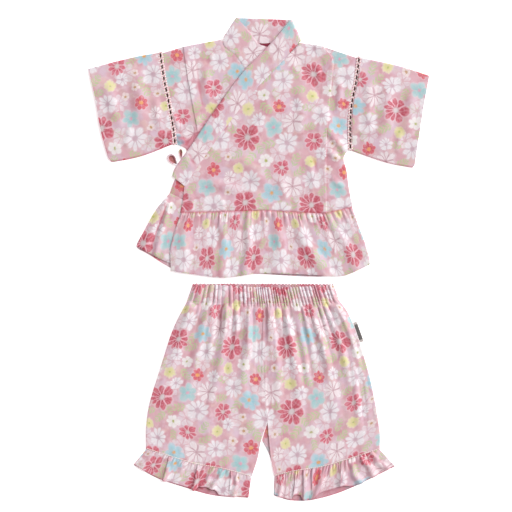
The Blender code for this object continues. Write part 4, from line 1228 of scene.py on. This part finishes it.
for settings in sleeves:
    over, under = (railGrid(settings["rails"], [5, 4], 9, even(rows), curved=True).turned()
                   for rows in (72, 30))
    for grid in (over, under):                  # the armhole end runs on into the lace
        reachOut(grid, **{settings["armhole"]: 0.5})
        roundCorner(grid, *settings["corner"])
    lift = edgeFade(over.u, 0.16) * (sleevePuff + 1.4 * creaseLift(over.x, over.y, settings["creases"])
                                     + softCloth(over, settings["seed"], 0.9))
    settle(tubePiece(settings, over, under, lift), settings)
print("sleeves ready")

# the ladder lace: two corded edges with slanting bars between them, plain over the back

laces = dict(flat=(0.010, 0.138), area=0.00095, cordWide=2.6, cordHigh=1.0, cordAt=2.4, picot=0.16,
             bars=17, barWide=2.7, barHigh=0.9, barPicot=0.06, barRise=0.1, slant=2.6, rise=0.95, steps=200,
             backHalf=[3.0, 1.2, 0.9], backZ=1.0, backHollow=0.2, backThick=0.9)


def sideways(run):
    # the direction square to a line at each of its points
    way = np.gradient(run, axis=0)
    return np.column_stack([-way[:, 1], way[:, 0]]) / np.hypot(way[:, 0], way[:, 1])[:, None]


def closeEnds(piece):
    # a cord's two open ends are filled
    activate(piece)
    bpy.ops.object.mode_set(mode="EDIT")
    bpy.ops.mesh.select_all(action="SELECT")
    bpy.ops.mesh.fill_holes(sides=0)
    bpy.ops.mesh.normals_make_consistent(inside=False)
    bpy.ops.object.mode_set(mode="OBJECT")
    piece.select_set(False)


def cordPiece(points, heights, wide, high, beads):
    # a flat cord through points, with beads along it like twisted thread
    rows, ring = len(points), 8
    x, y, z = (np.zeros((rows, ring)) for _ in range(3))
    for r, point in enumerate(points):
        run = points[min(r + 1, rows - 1)] - points[max(r - 1, 0)]
        out = np.array([-run[1], run[0]]) / np.hypot(*run)
        bead = 1 + beads * math.sin(r * math.pi / 2.0)
        for k in range(ring):
            angle = 2 * math.pi * k / ring
            x[r, k], y[r, k] = point + out * math.cos(angle) * wide / 2 * bead
            z[r, k] = heights[r] + math.sin(angle) * high / 2 * bead
    piece = meshFrom("laceCord", x, y, z, wrapped(x), wrapped(y), (laceWhite,), closed=True)
    closeEnds(piece)
    return piece


def joinPieces(pieces, name):
    bpy.ops.object.select_all(action="DESELECT")
    for piece in pieces:
        piece.select_set(True)
    bpy.context.view_layer.objects.active = pieces[0]
    bpy.ops.object.join()
    pieces[0].name = pieces[0].data.name = name
    pieces[0].select_set(False)
    return pieces[0]


def laceFront(name, line, lean, ground):
    # two cords, and bars that slant between them
    centre = alongLine(line, np.linspace(0.004, 0.996, laces["steps"]))
    out = sideways(centre)
    heights = ground(centre[:, 0], centre[:, 1]) + laces["rise"]
    cords = [cordPiece(centre + out * sign * laces["cordAt"], heights, laces["cordWide"], laces["cordHigh"],
                       laces["picot"]) for sign in (-1, 1)]
    ends = np.linspace(-1, 1, 6)
    for bar in range(laces["bars"]):
        share = (bar + 0.06) / (laces["bars"] - 0.88)
        index = min(int(share * (laces["steps"] - 1)), laces["steps"] - 1)
        outX, outY = out[index]
        way = out[index] * laces["cordAt"] * 0.92 - np.array([outY, -outX]) * lean * laces["slant"] / 2
        barHeights = heights[index] + laces["barRise"] * (1 - ends ** 2)
        cords.append(cordPiece(centre[index] + ends[:, None] * way, barHeights, laces["barWide"],
                               laces["barHigh"], laces["barPicot"]))
    lace = joinPieces(cords, name)
    lace.data.shade_smooth()
    return lace


def laceBack(name, line):
    # under the front's gaps: a plain strip with a hollow along its middle, its upper face painted dark brown
    # as the shadow seen through the gaps
    centre = alongLine(line, even(60))
    out = sideways(centre)
    half = np.array(laces["backHalf"])
    spread = np.concatenate([-half, half[::-1]])
    x, y = centre[:, :1] + out[:, :1] * spread, centre[:, 1:] + out[:, 1:] * spread
    z = np.full(x.shape, laces["backZ"]) - laces["backHollow"] * (np.abs(spread) < 1.1)
    piece = meshFrom(name, x, y, z, x, y, (laceShade, laceWhite))
    return thicken(piece, laces["backThick"], insideSlot=1)


for side, line, lean, ground in (("right", laceLineRight, 1, lambda x, y: np.full(x.shape, secondZ)),
                                 ("left", laceLineLeft, -1, lapBase)):
    front = laceFront(f"lace{side.capitalize()}Front", line, lean, ground)
    settle(front, dict(laces, nodes=(f"lace_{side}_front",)))
    back = laceBack(f"lace{side.capitalize()}Back", line)
    settle(back, dict(laces, nodes=(f"lace_{side}_back",)))
print("lace ready")

# the peplums

peplumRight = dict(
    name="peplumRight", nodes=("peplum_right",), flat=(0.36, 0.088), area=0.0317, shift=(44, 140),
    stretch=(1.15, 1.0), turn=-20, reach=dict(top=0.4), droops=[(0.4, 1.6, "tb")],
    grid=railGrid([
        [(-128.8, 94.8), (-150, 69), (-166, 40), (-177, 18)],
        [(-108, 85.1), (-122, 55), (-134, 26), (-144, 0)],
        [(-88, 75.6), (-98, 45), (-110, 15), (-118, -11)],
        [(-70, 73.6), (-75, 40), (-84, 10), (-90, -15)],
        [(116, 70.6), (119, 40), (122, 15), (124, -12)],
    ], [9, 6, 3, 3], 3.0, even(44)),
    creases=[
        crease(1.6, 8, (-131, 88), (-150, 52), (-166, 16), fade=(0.1, 0.0)),
        crease(2.0, 7, (-126, 84), (-138, 48), (-149, 7), fade=(0.1, 0.0)),
        crease(-0.6, 4, (-128, 86), (-144, 50), (-157, 12), fade=(0.1, 0.0)),
        crease(1.0, 4, (-124, 90), (-138, 58), kind="sharp", fade=(0.0, 0.6)),
    ])
grid = peplumRight["grid"]
drooping = seamEdges(peplumRight)
lift = 1.3 * creaseLift(grid.x, grid.y, peplumRight["creases"]) + softCloth(grid, 21, 0.5)
lift = lift * ease((-grid.x - 122) / 12) + layerLift        # the rest lies flat under the left peplum
piece = panelPiece(peplumRight, secondZ, np.maximum(lift + drooping, -0.2))
settle(piece, peplumRight)

peplumLeft = dict(
    name="peplumLeft", nodes=("peplum_left",), flat=(0.39, 0.088), area=0.0343, shift=(-26, 75),
    cut=(385, 92), reach=dict(top=0.35), droops=[(1.0, 2.2, "t"), (0.5, 1.6, "blr")],
    grid=railGrid([
        [(-112, 66.6), (-123, 34), (-128, 12), (-127, -18)],
        [(-85, 67.0), (-90, 20), (-96, -23)],
        [(-41, 68.1), (-46, 20), (-49, -28)],
        [(5, 69.6), (3, 20), (-1, -22)],
        [(46, 67.5), (53, 20), (60, -23)],
        [(86, 65.9), (98, 20), (111, -26)],
        [(98, 66.2), (112, 25), (128, -24)],
        [(136, 74.6), (143, 53), (154, 24), (163, -8)],
    ], [10, 15, 16, 15, 14, 6, 13], 3.4, even(50), curved=True),
    gathers=dict(count=44, height=2.2, reach=0.28, uneven=0.65, seed=4, lean=0.05, wander=0.012,
                 widen=0.8),
    folds=[(0.05, 0.06, 1.0, 2.0, 0.050), (0.14, 0.17, 0.8, 1.6, 0.035), (0.24, 0.28, 1.0, 2.2, 0.040),
           (0.33, 0.36, 0.6, 1.4, 0.030), (0.39, 0.395, 1.0, 3.4, 0.034), (0.47, 0.48, 0.7, 1.6, 0.026),
           (0.55, 0.55, 1.0, 2.6, 0.048), (0.64, 0.74, 1.0, 3.2, 0.056), (0.78, 0.86, 0.8, 1.2, 0.034),
           (0.86, 0.92, 1.0, 2.0, 0.040), (0.95, 0.98, 0.9, 1.3, 0.026)])
grid = peplumLeft["grid"]
drooping = seamEdges(peplumLeft)
lift = gatherLift(grid.u, grid.v, peplumLeft["gathers"]) * (0.45 + 0.55 * ease(grid.v * 12))
lift = lift + 0.85 * foldLift(grid.u, grid.v, peplumLeft["folds"]) * (0.35 + 0.65 * ease(grid.v * 6))
lift = np.maximum(lift + softCloth(grid, 31, 0.6, 24, (0.6, 1.6)) + drooping, -0.6) + layerLift
# painted shade along the waist seam at the peplum's top
piece = panelPiece(peplumLeft, thirdZ, lift, shade=1 - ease(grid.v * peplumLeft["cut"][1] / 3))
settle(piece, peplumLeft)
print("peplums ready")

# the shorts

waistband = dict(
    name="waistbandCasing", nodes=("waistband",), flat=(0.56, 0.028), area=0.01568, shift=(30, 100),
    cut=(330, 28), thick=0.6,
    gathers=dict(count=40, height=2.5, reach=50.0, uneven=0.35, seed=8,
                 density=[(0.0, 1.9), (0.18, 1.5), (0.32, 0.85), (0.5, 0.75), (0.75, 0.85), (1.0, 1.3)]),
    scallops=0.85, backScallops=(1.45, 2.6))
legGathers = dict(reach=0.06, wander=0.004, widen=0.6)
legFolds = dict(count=15, height=4.0, reach=0.34, uneven=0.55, seed=23, wander=0.05, widen=0.7)
bandX = [-102.6, -49, 8, 66, 115.6]
legs = [
    dict(name="legFrontRight", nodes=("leg_front_right",), flat=(0.22, 0.25), area=0.047, shift=(30, 72),
         shaded=[(-46, -60), (-54, -75), (-58, -98), (-62, -124)],
         cut=(330, 246), rails=legRightRails, seed=12, pressed=0.0, restsOn="legBackRight",
         reach=dict(top=0.6, bottom=0.3, right=0.25), droops=[(0.4, 1.6, "bl"), (0.25, 1.2, "t")],
         folds=[(0.10, 0.08, 0.8, 1.4, 0.070), (0.26, 0.28, 0.9, 1.8, 0.090), (0.40, 0.44, 0.5, 1.8, 0.055),
                (0.56, 0.55, 0.9, 2.4, 0.080), (0.70, 0.66, 0.45, 1.6, 0.050), (0.80, 0.84, 0.8, 2.2, 0.070)],
         creases=[
             crease(-2.6, 5, (-54, -65), (-57, -78), (-59, -100), (-64, -121), fade=(0.0, 0.4)),
             crease(1.4, 6, (-66, -66), (-70, -95), (-76, -130), fade=(0.0, 0.6)),
             crease(1.2, 5, (-46, -66), (-47, -90), (-52, -120), fade=(0.0, 0.6)),
             crease(-1.2, 7, (3, -70), (1, -140), (0, -206), fade=(0.1, 0.4)),
             crease(1.2, 6, (-12, -68), (-14, -120), (-14, -165), fade=(0.0, 0.5)),
             crease(-0.9, 10, (-72, -130), (-76, -170), (-84, -230)),
             crease(1.3, 6, (-98, -64), (-104, -84), (-112, -104), fade=(0.0, 0.6)),
             crease(-0.8, 4, (-88, -64), (-92, -84), (-100, -110), fade=(0.0, 0.6)),
         ]),
    dict(name="legFrontLeft", nodes=("leg_front_left",), flat=(0.22, 0.25), area=0.047, shift=(30, 72),
         cut=(330, 246), rails=legLeftRails, seed=15, pressed=0.35, restsOn="legBackLeft",
         reach=dict(top=0.6, bottom=0.3, left=0.25), droops=[(0.4, 1.6, "br"), (0.25, 1.2, "t")],
         folds=[(0.10, 0.14, 0.8, 1.6, 0.060), (0.26, 0.34, 0.9, 2.4, 0.075), (0.46, 0.50, 0.5, 1.8, 0.055),
                (0.58, 0.68, 0.9, 2.6, 0.085), (0.78, 0.88, 0.8, 2.2, 0.060), (0.92, 0.95, 0.9, 1.4, 0.045)],
         creases=[
             crease(-1.2, 4, (43, -66), (45, -78), (46, -92), fade=(0.0, 0.5), kind="sharp"),
             crease(-1.4, 4, (67, -68), (69, -78), (71, -90), fade=(0.0, 0.5), kind="sharp"),
             crease(1.2, 7, (54, -86), (66, -130), (75, -205), fade=(0.2, 0.5)),
             crease(1.1, 8, (88, -88), (98, -140), (106, -205), fade=(0.2, 0.5)),
             crease(-0.9, 9, (96, -140), (104, -180), (108, -205)),
             crease(1.2, 7, (134, -130), (142, -190), (146, -262)),
             crease(-0.8, 6, (146, -150), (152, -200), (156, -262)),
             crease(0.9, 5, (16, -72), (18, -120), (20, -180), fade=(0.1, 0.5)),
         ]),
]
for settings in legs:
    grid = railGrid(settings["rails"], [11, 11, 11, 11], 4.4, even(100) ** 1.2, curved=True)
    settings["grid"] = grid
    drooping = seamEdges(settings)
    across = np.interp(np.interp(grid.u, grid.u[0], grid.x[0]), bandX, even(4))    # along the waistband
    settings["across"] = across
    lift = 0.72 * gatherLift(across, grid.v, dict(waistband["gathers"], **legGathers))
    broad = gatherLift(across, grid.v, legFolds) * ease(grid.v * 22)
    lift = np.maximum(lift, broad) + 0.2 * np.minimum(lift, broad)
    lift = lift + 1.9 * foldLift(grid.u, grid.v, settings["folds"]) * ease(grid.v * 6)
    lift = lift + 1.3 * creaseLift(grid.x, grid.y, settings["creases"]) * ease(grid.v * 40)
    lift = lift + softCloth(grid, settings["seed"], 0.9, 30, (0.7, 1.6))
    lift = lift * edgeFade(grid.u, 0.035) + drooping
    lift = lift + settings["pressed"] * bump(grid.u, 0.022)     # the centre seam leans to one side
    lift = np.maximum(lift, -0.4) + layerLift
    shade = 0.0
    if "shaded" in settings:
        away, _, share = nearLine(grid.x, grid.y, settings["shaded"])
        shade = 0.9 * bump(away, 3.6) * (1 - ease(share))
    piece = panelPiece(settings, secondZ, lift, shade=shade)
    settle(piece, settings)
print("legs ready")

over = railGrid([
    [(-94, -36.8), (-102.6, -61.7)],
    [(-49, -38.6), (-49, -64.9)],
    [(5, -41.5), (8, -65)],
    [(60, -41), (66, -64)],
    [(107.6, -37.2), (115.6, -60)],
], [38, 38, 38, 38], 2.6, even(12), curved=True)
under = railGrid([
    [(-94, -36.4), (-102.6, -61.7)],
    [(5, -36.4), (8, -65)],
    [(107.6, -37), (115.6, -60)],
], [3, 3], 22, even(12), curved=True)
reachOut(over, bottom=0.3)
swell = np.sin(np.pi * over.v)
lift = gatherLift(over.u, over.v, waistband["gathers"]) * (0.75 + 0.25 * swell) + swell ** 0.6
lift = lift * edgeFade(over.u, 0.03)
for row in range(over.x.shape[0]):            # the top edge is drawn into little scallops
    over.y[row] += (1 - over.v[row]) ** 3 * (lift[0] - 1.2) * waistband["scallops"]
pitch, height = waistband["backScallops"]
ripple = np.sin(under.x / pitch + 1.2 * np.sin(under.x / 9.0))
under.y += (1 - under.v) ** 3 * height * (np.abs(ripple) - 0.75)
# painted shade in the back's gathers, strongest in their valleys
waistband["backStripes"] = 0.95 * (1 - np.abs(ripple[0])) ** 0.7
settle(tubePiece(waistband, over, under, lift), waistband)

ruffles = [
    dict(name="ruffleRight", nodes=("ruffle_right",), flat=(0.47, 0.036), area=0.0169, shift=(10, 30),
         cut=(220, 36), thick=0.6, gaps=[(0.70, 0.12, 8.5)], seed=41, rails=[
             [(-161.6, -277), (-180, -300)], [(-128, -287.4), (-147, -318.5)],
             [(-92, -298.4), (-110, -331)], [(-52, -305.4), (-66, -343.5)],
             [(-11.4, -316.5), (-15.5, -347)]],
         gathers=dict(count=34, height=1.8, reach=0.32, uneven=0.6, seed=51, wander=0.02, widen=1.0),
         folds=[(0.07, 0.08, 1.2, 1.2, 0.06), (0.30, 0.31, 1.2, 1.4, 0.05), (0.40, 0.42, 0.9, 1.0, 0.04),
                (0.60, 0.58, 1.2, 1.8, 0.03), (0.67, 0.66, 1.2, 2.0, 0.03), (0.75, 0.735, 1.2, 2.2, 0.035),
                (0.88, 0.90, 1.2, 1.8, 0.03)],
         creases=[
             crease(2.3, 9, (-130.5, -289), (-138.5, -320), kind="left", fade=(0, 0)),
             crease(2.3, 9, (-89, -300), (-95.7, -333), kind="left", fade=(0, 0)),
             crease(1.4, 6, (-40, -308), (-43, -341), kind="left", fade=(0, 0.2))]),
    dict(name="ruffleLeft", nodes=("ruffle_left",), flat=(0.50, 0.037), area=0.0185, shift=(80, 66),
         cut=(230, 36), thick=0.6, gaps=[(0.31, 0.075, 7.5), (0.63, 0.19, 7.5)], shade=0.12, seed=43, rails=[
             [(24.4, -315.6), (23.6, -344)], [(55, -308.4), (48, -351)], [(93, -302.4), (82, -349.5)],
             [(128, -292.4), (128, -335.5)], [(174.6, -277), (197, -302)]],
         gathers=dict(count=34, height=2.4, reach=0.50, uneven=0.6, seed=57, wander=0.02, widen=1.0),
         folds=[(0.07, 0.07, 1.2, 1.2, 0.05), (0.36, 0.38, 1.0, 1.3, 0.05), (0.53, 0.50, 1.2, 2.0, 0.06),
                (0.70, 0.72, 1.2, 1.3, 0.04), (0.77, 0.82, 1.2, 2.2, 0.03), (0.86, 0.90, 1.2, 2.0, 0.03),
                (0.94, 0.96, 1.2, 1.4, 0.03)],
         creases=[
             crease(2.0, 8, (54, -308), (49.5, -349), kind="left", fade=(0, 0)),
             crease(1.8, 7, (64.5, -306), (65, -348), kind="left", fade=(0, 0)),
             crease(1.3, 6, (77, -304.5), (77, -340), kind="left", fade=(0, 0.2)),
             crease(2.4, 10, (120.8, -295), (119, -332), kind="right", fade=(0, 0))]),
]
for settings in ruffles:
    over, under = (railGrid(settings["rails"], [14, 14, 14, 14], density, even(15), curved=True)
                   for density in (4.4, 1.2))
    for grid in (over, under):
        reachOut(grid, top=0.3)
    lift = gatherLift(over.u, over.v, settings["gathers"])
    lift = lift + 1.5 * foldLift(over.u, over.v, settings["folds"]) * (0.4 + 0.6 * ease(over.v * 4))
    lift = lift + creaseLift(over.x, over.y, settings["creases"])
    lift = lift + softCloth(over, settings["seed"], 0.5, 14, (0.6, 1.6))
    lift = np.maximum(lift * edgeFade(over.u, 0.03) * (0.55 + 0.45 * ease(over.v * 6)), 0.0)
    for gapAt, gapWide, gapTall in settings["gaps"]:    # where the back's inside shows below the front
        over.y += gapTall * ease(1.8 * bump(np.abs(over.u - gapAt), gapWide)) * over.v ** 2
    over.y += (1.2 - 0.5 * np.minimum(lift, 4)) * over.v ** 2       # the free edge follows the folds
    settle(tubePiece(settings, over, under, lift), settings)
print("shorts ready")

# the seam at the top of each ruffle, under a row of pale stitches

stitches = dict(length=2.7, gap=0.35, wide=1.15, high=0.7, z=2.75)


def stitchRow(name, line):
    # one stitch is modelled, then copied along the hem
    bpy.ops.object.select_all(action="DESELECT")
    bpy.ops.mesh.primitive_cylinder_add(vertices=8, radius=0.5 * mm, depth=mm)
    first = bpy.context.object
    first.data.materials.append(seamThread)
    bpy.ops.object.mode_set(mode="EDIT")
    bpy.ops.mesh.select_all(action="SELECT")
    bpy.ops.transform.rotate(value=math.pi / 2, orient_axis="Y", center_override=(0, 0, 0))
    bpy.ops.transform.resize(value=(stitches["length"], stitches["wide"], stitches["high"]),
                             center_override=(0, 0, 0))
    bpy.ops.mesh.select_mode(type="FACE")       # the ends are drawn in where the thread goes down
    bpy.ops.mesh.select_all(action="DESELECT")
    bpy.ops.object.mode_set(mode="OBJECT")
    for face in first.data.polygons:
        face.select = abs(face.normal.x) > 0.9
    bpy.ops.object.mode_set(mode="EDIT")
    bpy.ops.mesh.bevel(offset=0.3 * mm, segments=2)
    bpy.ops.object.mode_set(mode="OBJECT")
    bpy.ops.object.shade_smooth()
    length = np.hypot(*np.diff(cornerRun(line), axis=0).T).sum()
    count = int(length / (stitches["length"] + stitches["gap"]))
    places = (np.arange(count) + 0.5) / count
    half = stitches["length"] / 2 / length
    pieces = []
    for (ax, ay), (bx, by) in zip(alongLine(line, places - half), alongLine(line, places + half)):
        stitch = first.copy()
        stitch.data = first.data.copy()
        stitch.location = ((ax + bx) / 2 * mm, (ay + by) / 2 * mm, stitches["z"] * mm)
        stitch.rotation_euler.z = math.atan2(by - ay, bx - ax)
        bpy.context.collection.objects.link(stitch)
        pieces.append(stitch)
    bpy.data.objects.remove(first)
    row = joinPieces(pieces, name)
    activate(row)
    bpy.ops.object.transform_apply(location=True, rotation=True, scale=True)
    row.select_set(False)
    settle(row, {})


stitchRow("hemStitchRight", [(-162, -275.5), (-128, -286.2), (-92, -297.2), (-52, -304.2), (-11.8, -315.2)])
stitchRow("hemStitchLeft", [(23.8, -314.4), (55, -307.2), (93, -301.2), (128, -291.2), (175, -275.8)])

# the side label, left bare

label = dict(name="sideLabel", nodes=("side_label",), flat=(0.010, 0.030), area=0.00018, thick=0.5, z=0.62,
             corners=[(137.4, -93), (142.4, -91.5), (152.6, -120), (147.4, -122)])
(ax, ay), (bx, by), (cx, cy), (dx, dy) = label["corners"]
u, v = np.meshgrid(even(6), even(26))
x = (ax + (bx - ax) * u) * (1 - v) + (dx + (cx - dx) * u) * v
y = (ay + (by - ay) * u) * (1 - v) + (dy + (cy - dy) * u) * v
z = label["z"] + 0.18 * np.sin(np.pi * u) + 0.15 * np.sin(7 * v)
piece = thicken(meshFrom(label["name"], x, y, z, u * 5, v * 30, (labelWeave,)), label["thick"])
settle(piece, label)

# the little bow loops by the end of the collar

loops = [
    dict(name="tieLoopUpper", nodes=("tie_loop_upper",), root=(-112.2, 143.5), tip=(-113, 159), wide=5.5,
         high=3.2, border=0.34, flat=(0.010, 0.030), area=0.00024),
    dict(name="tieLoopLower", nodes=("tie_loop_lower",), root=(-117, 134), tip=(-130.5, 150.5), wide=11.0,
         high=4.0, border=0.32, flat=(0.012, 0.045), area=0.00045),
]
loopSteps = 48
for settings in loops:
    root, tip = (np.array(settings[end], float) for end in ("root", "tip"))
    run, border = tip - root, settings["border"]
    out = np.array([-run[1], run[0]]) / np.hypot(*run)
    turns = np.linspace(0, 2 * math.pi, loopSteps + 1)[:-1, None]
    along = 0.5 - 0.5 * np.cos(turns)
    rim = root + run * along + out * np.sin(turns) * settings["wide"] / 2 * (0.35 + 1.05 * along ** 0.9)
    heart = root + run * 0.62
    # from the foot over the border into the hollow: each ring's share of the rim, and of the height
    profile = [(1.0, 0.15), (1.03, 0.5), (1.0, 0.95), (1.0 - border * 0.5, 1.0), (1.0 - border, 0.8),
               (0.9 - border, 0.3), (0.35, 0.24), (0.02, 0.24)]
    rings = np.array([heart + (rim - heart) * share for share, _ in profile])
    x, y = rings[..., 0], rings[..., 1]
    z = np.array([np.full(loopSteps, 0.15 + settings["high"] * share) for _, share in profile])
    u, v = printPlace(wrapped(x), wrapped(y), dict(shift=(40, 15)))
    piece = meshFrom(settings["name"], x, y, z, u, v, (cotton, loopHollowShade), closed=True)
    # the faces of the loop's hollow take the painted shade, the rim keeps the print
    for index, face in enumerate(piece.data.polygons):
        face.material_index = int(index // loopSteps >= 4)
    settle(thicken(piece, 0.5), settings)
print("trim ready")

# the floor, lights and camera

bpy.ops.mesh.primitive_plane_add(size=10, location=(0, 0, -0.0004))
floor = bpy.context.object
floor.name = "floor"
paper, t = newMaterial("floorPaper")
spots = t.noise(t.out("Object", "ShaderNodeTexCoord"), 3)
shader = t.out(0, "ShaderNodeBsdfPrincipled", {
    "Base Color": t.mix(spots, (0.93, 0.93, 0.93, 1), (0.95, 0.95, 0.95, 1)), "Roughness": 0.9,
    "Specular IOR Level": 0.1, "Emission Color": (1, 1, 1, 1), "Emission Strength": 0.55})
t.node("ShaderNodeOutputMaterial", {"Surface": shader})
floor.data.materials.append(paper)

studio = dict(world=0.36, across=742.4, centre=(-3.6, 3.6), lens=200.0, sensor=36.0, lamps=[
    dict(name="key", strength=2.6, rise=37, turn=30, spread=52),
    dict(name="gloss", strength=0.7, rise=62, turn=45, spread=30)])
scene = bpy.context.scene
world = bpy.data.worlds.new("studio")
scene.world = world
world.use_nodes = True
world.node_tree.nodes["Background"].inputs["Color"].default_value = (1.0, 0.76, 0.79, 1.0)
world.node_tree.nodes["Background"].inputs["Strength"].default_value = studio["world"]
for lamp in studio["lamps"]:
    light = bpy.data.lights.new(lamp["name"], "SUN")
    light.energy, light.angle = lamp["strength"], math.radians(lamp["spread"])
    rise, turn = math.radians(lamp["rise"]), math.radians(lamp["turn"])
    source = Vector((math.cos(rise) * math.cos(turn), math.cos(rise) * math.sin(turn), math.sin(rise)))
    lampObject = bpy.data.objects.new(lamp["name"], light)
    lampObject.location = source * 3
    lampObject.rotation_euler = (-source).to_track_quat("-Z", "Y").to_euler()
    bpy.context.collection.objects.link(lampObject)
cameraData = bpy.data.cameras.new("camera")
cameraData.lens = studio["lens"]
cameraData.sensor_width = studio["sensor"]
cameraData.clip_end = 50.0
camera = bpy.data.objects.new("camera", cameraData)
distance = studio["across"] * mm * studio["lens"] / studio["sensor"]
camera.location = (studio["centre"][0] * mm, studio["centre"][1] * mm, distance + 0.003)
bpy.context.collection.objects.link(camera)
scene.camera = camera
scene.view_settings.view_transform = "Standard"
scene.view_settings.look = "None"

print("scene ready")
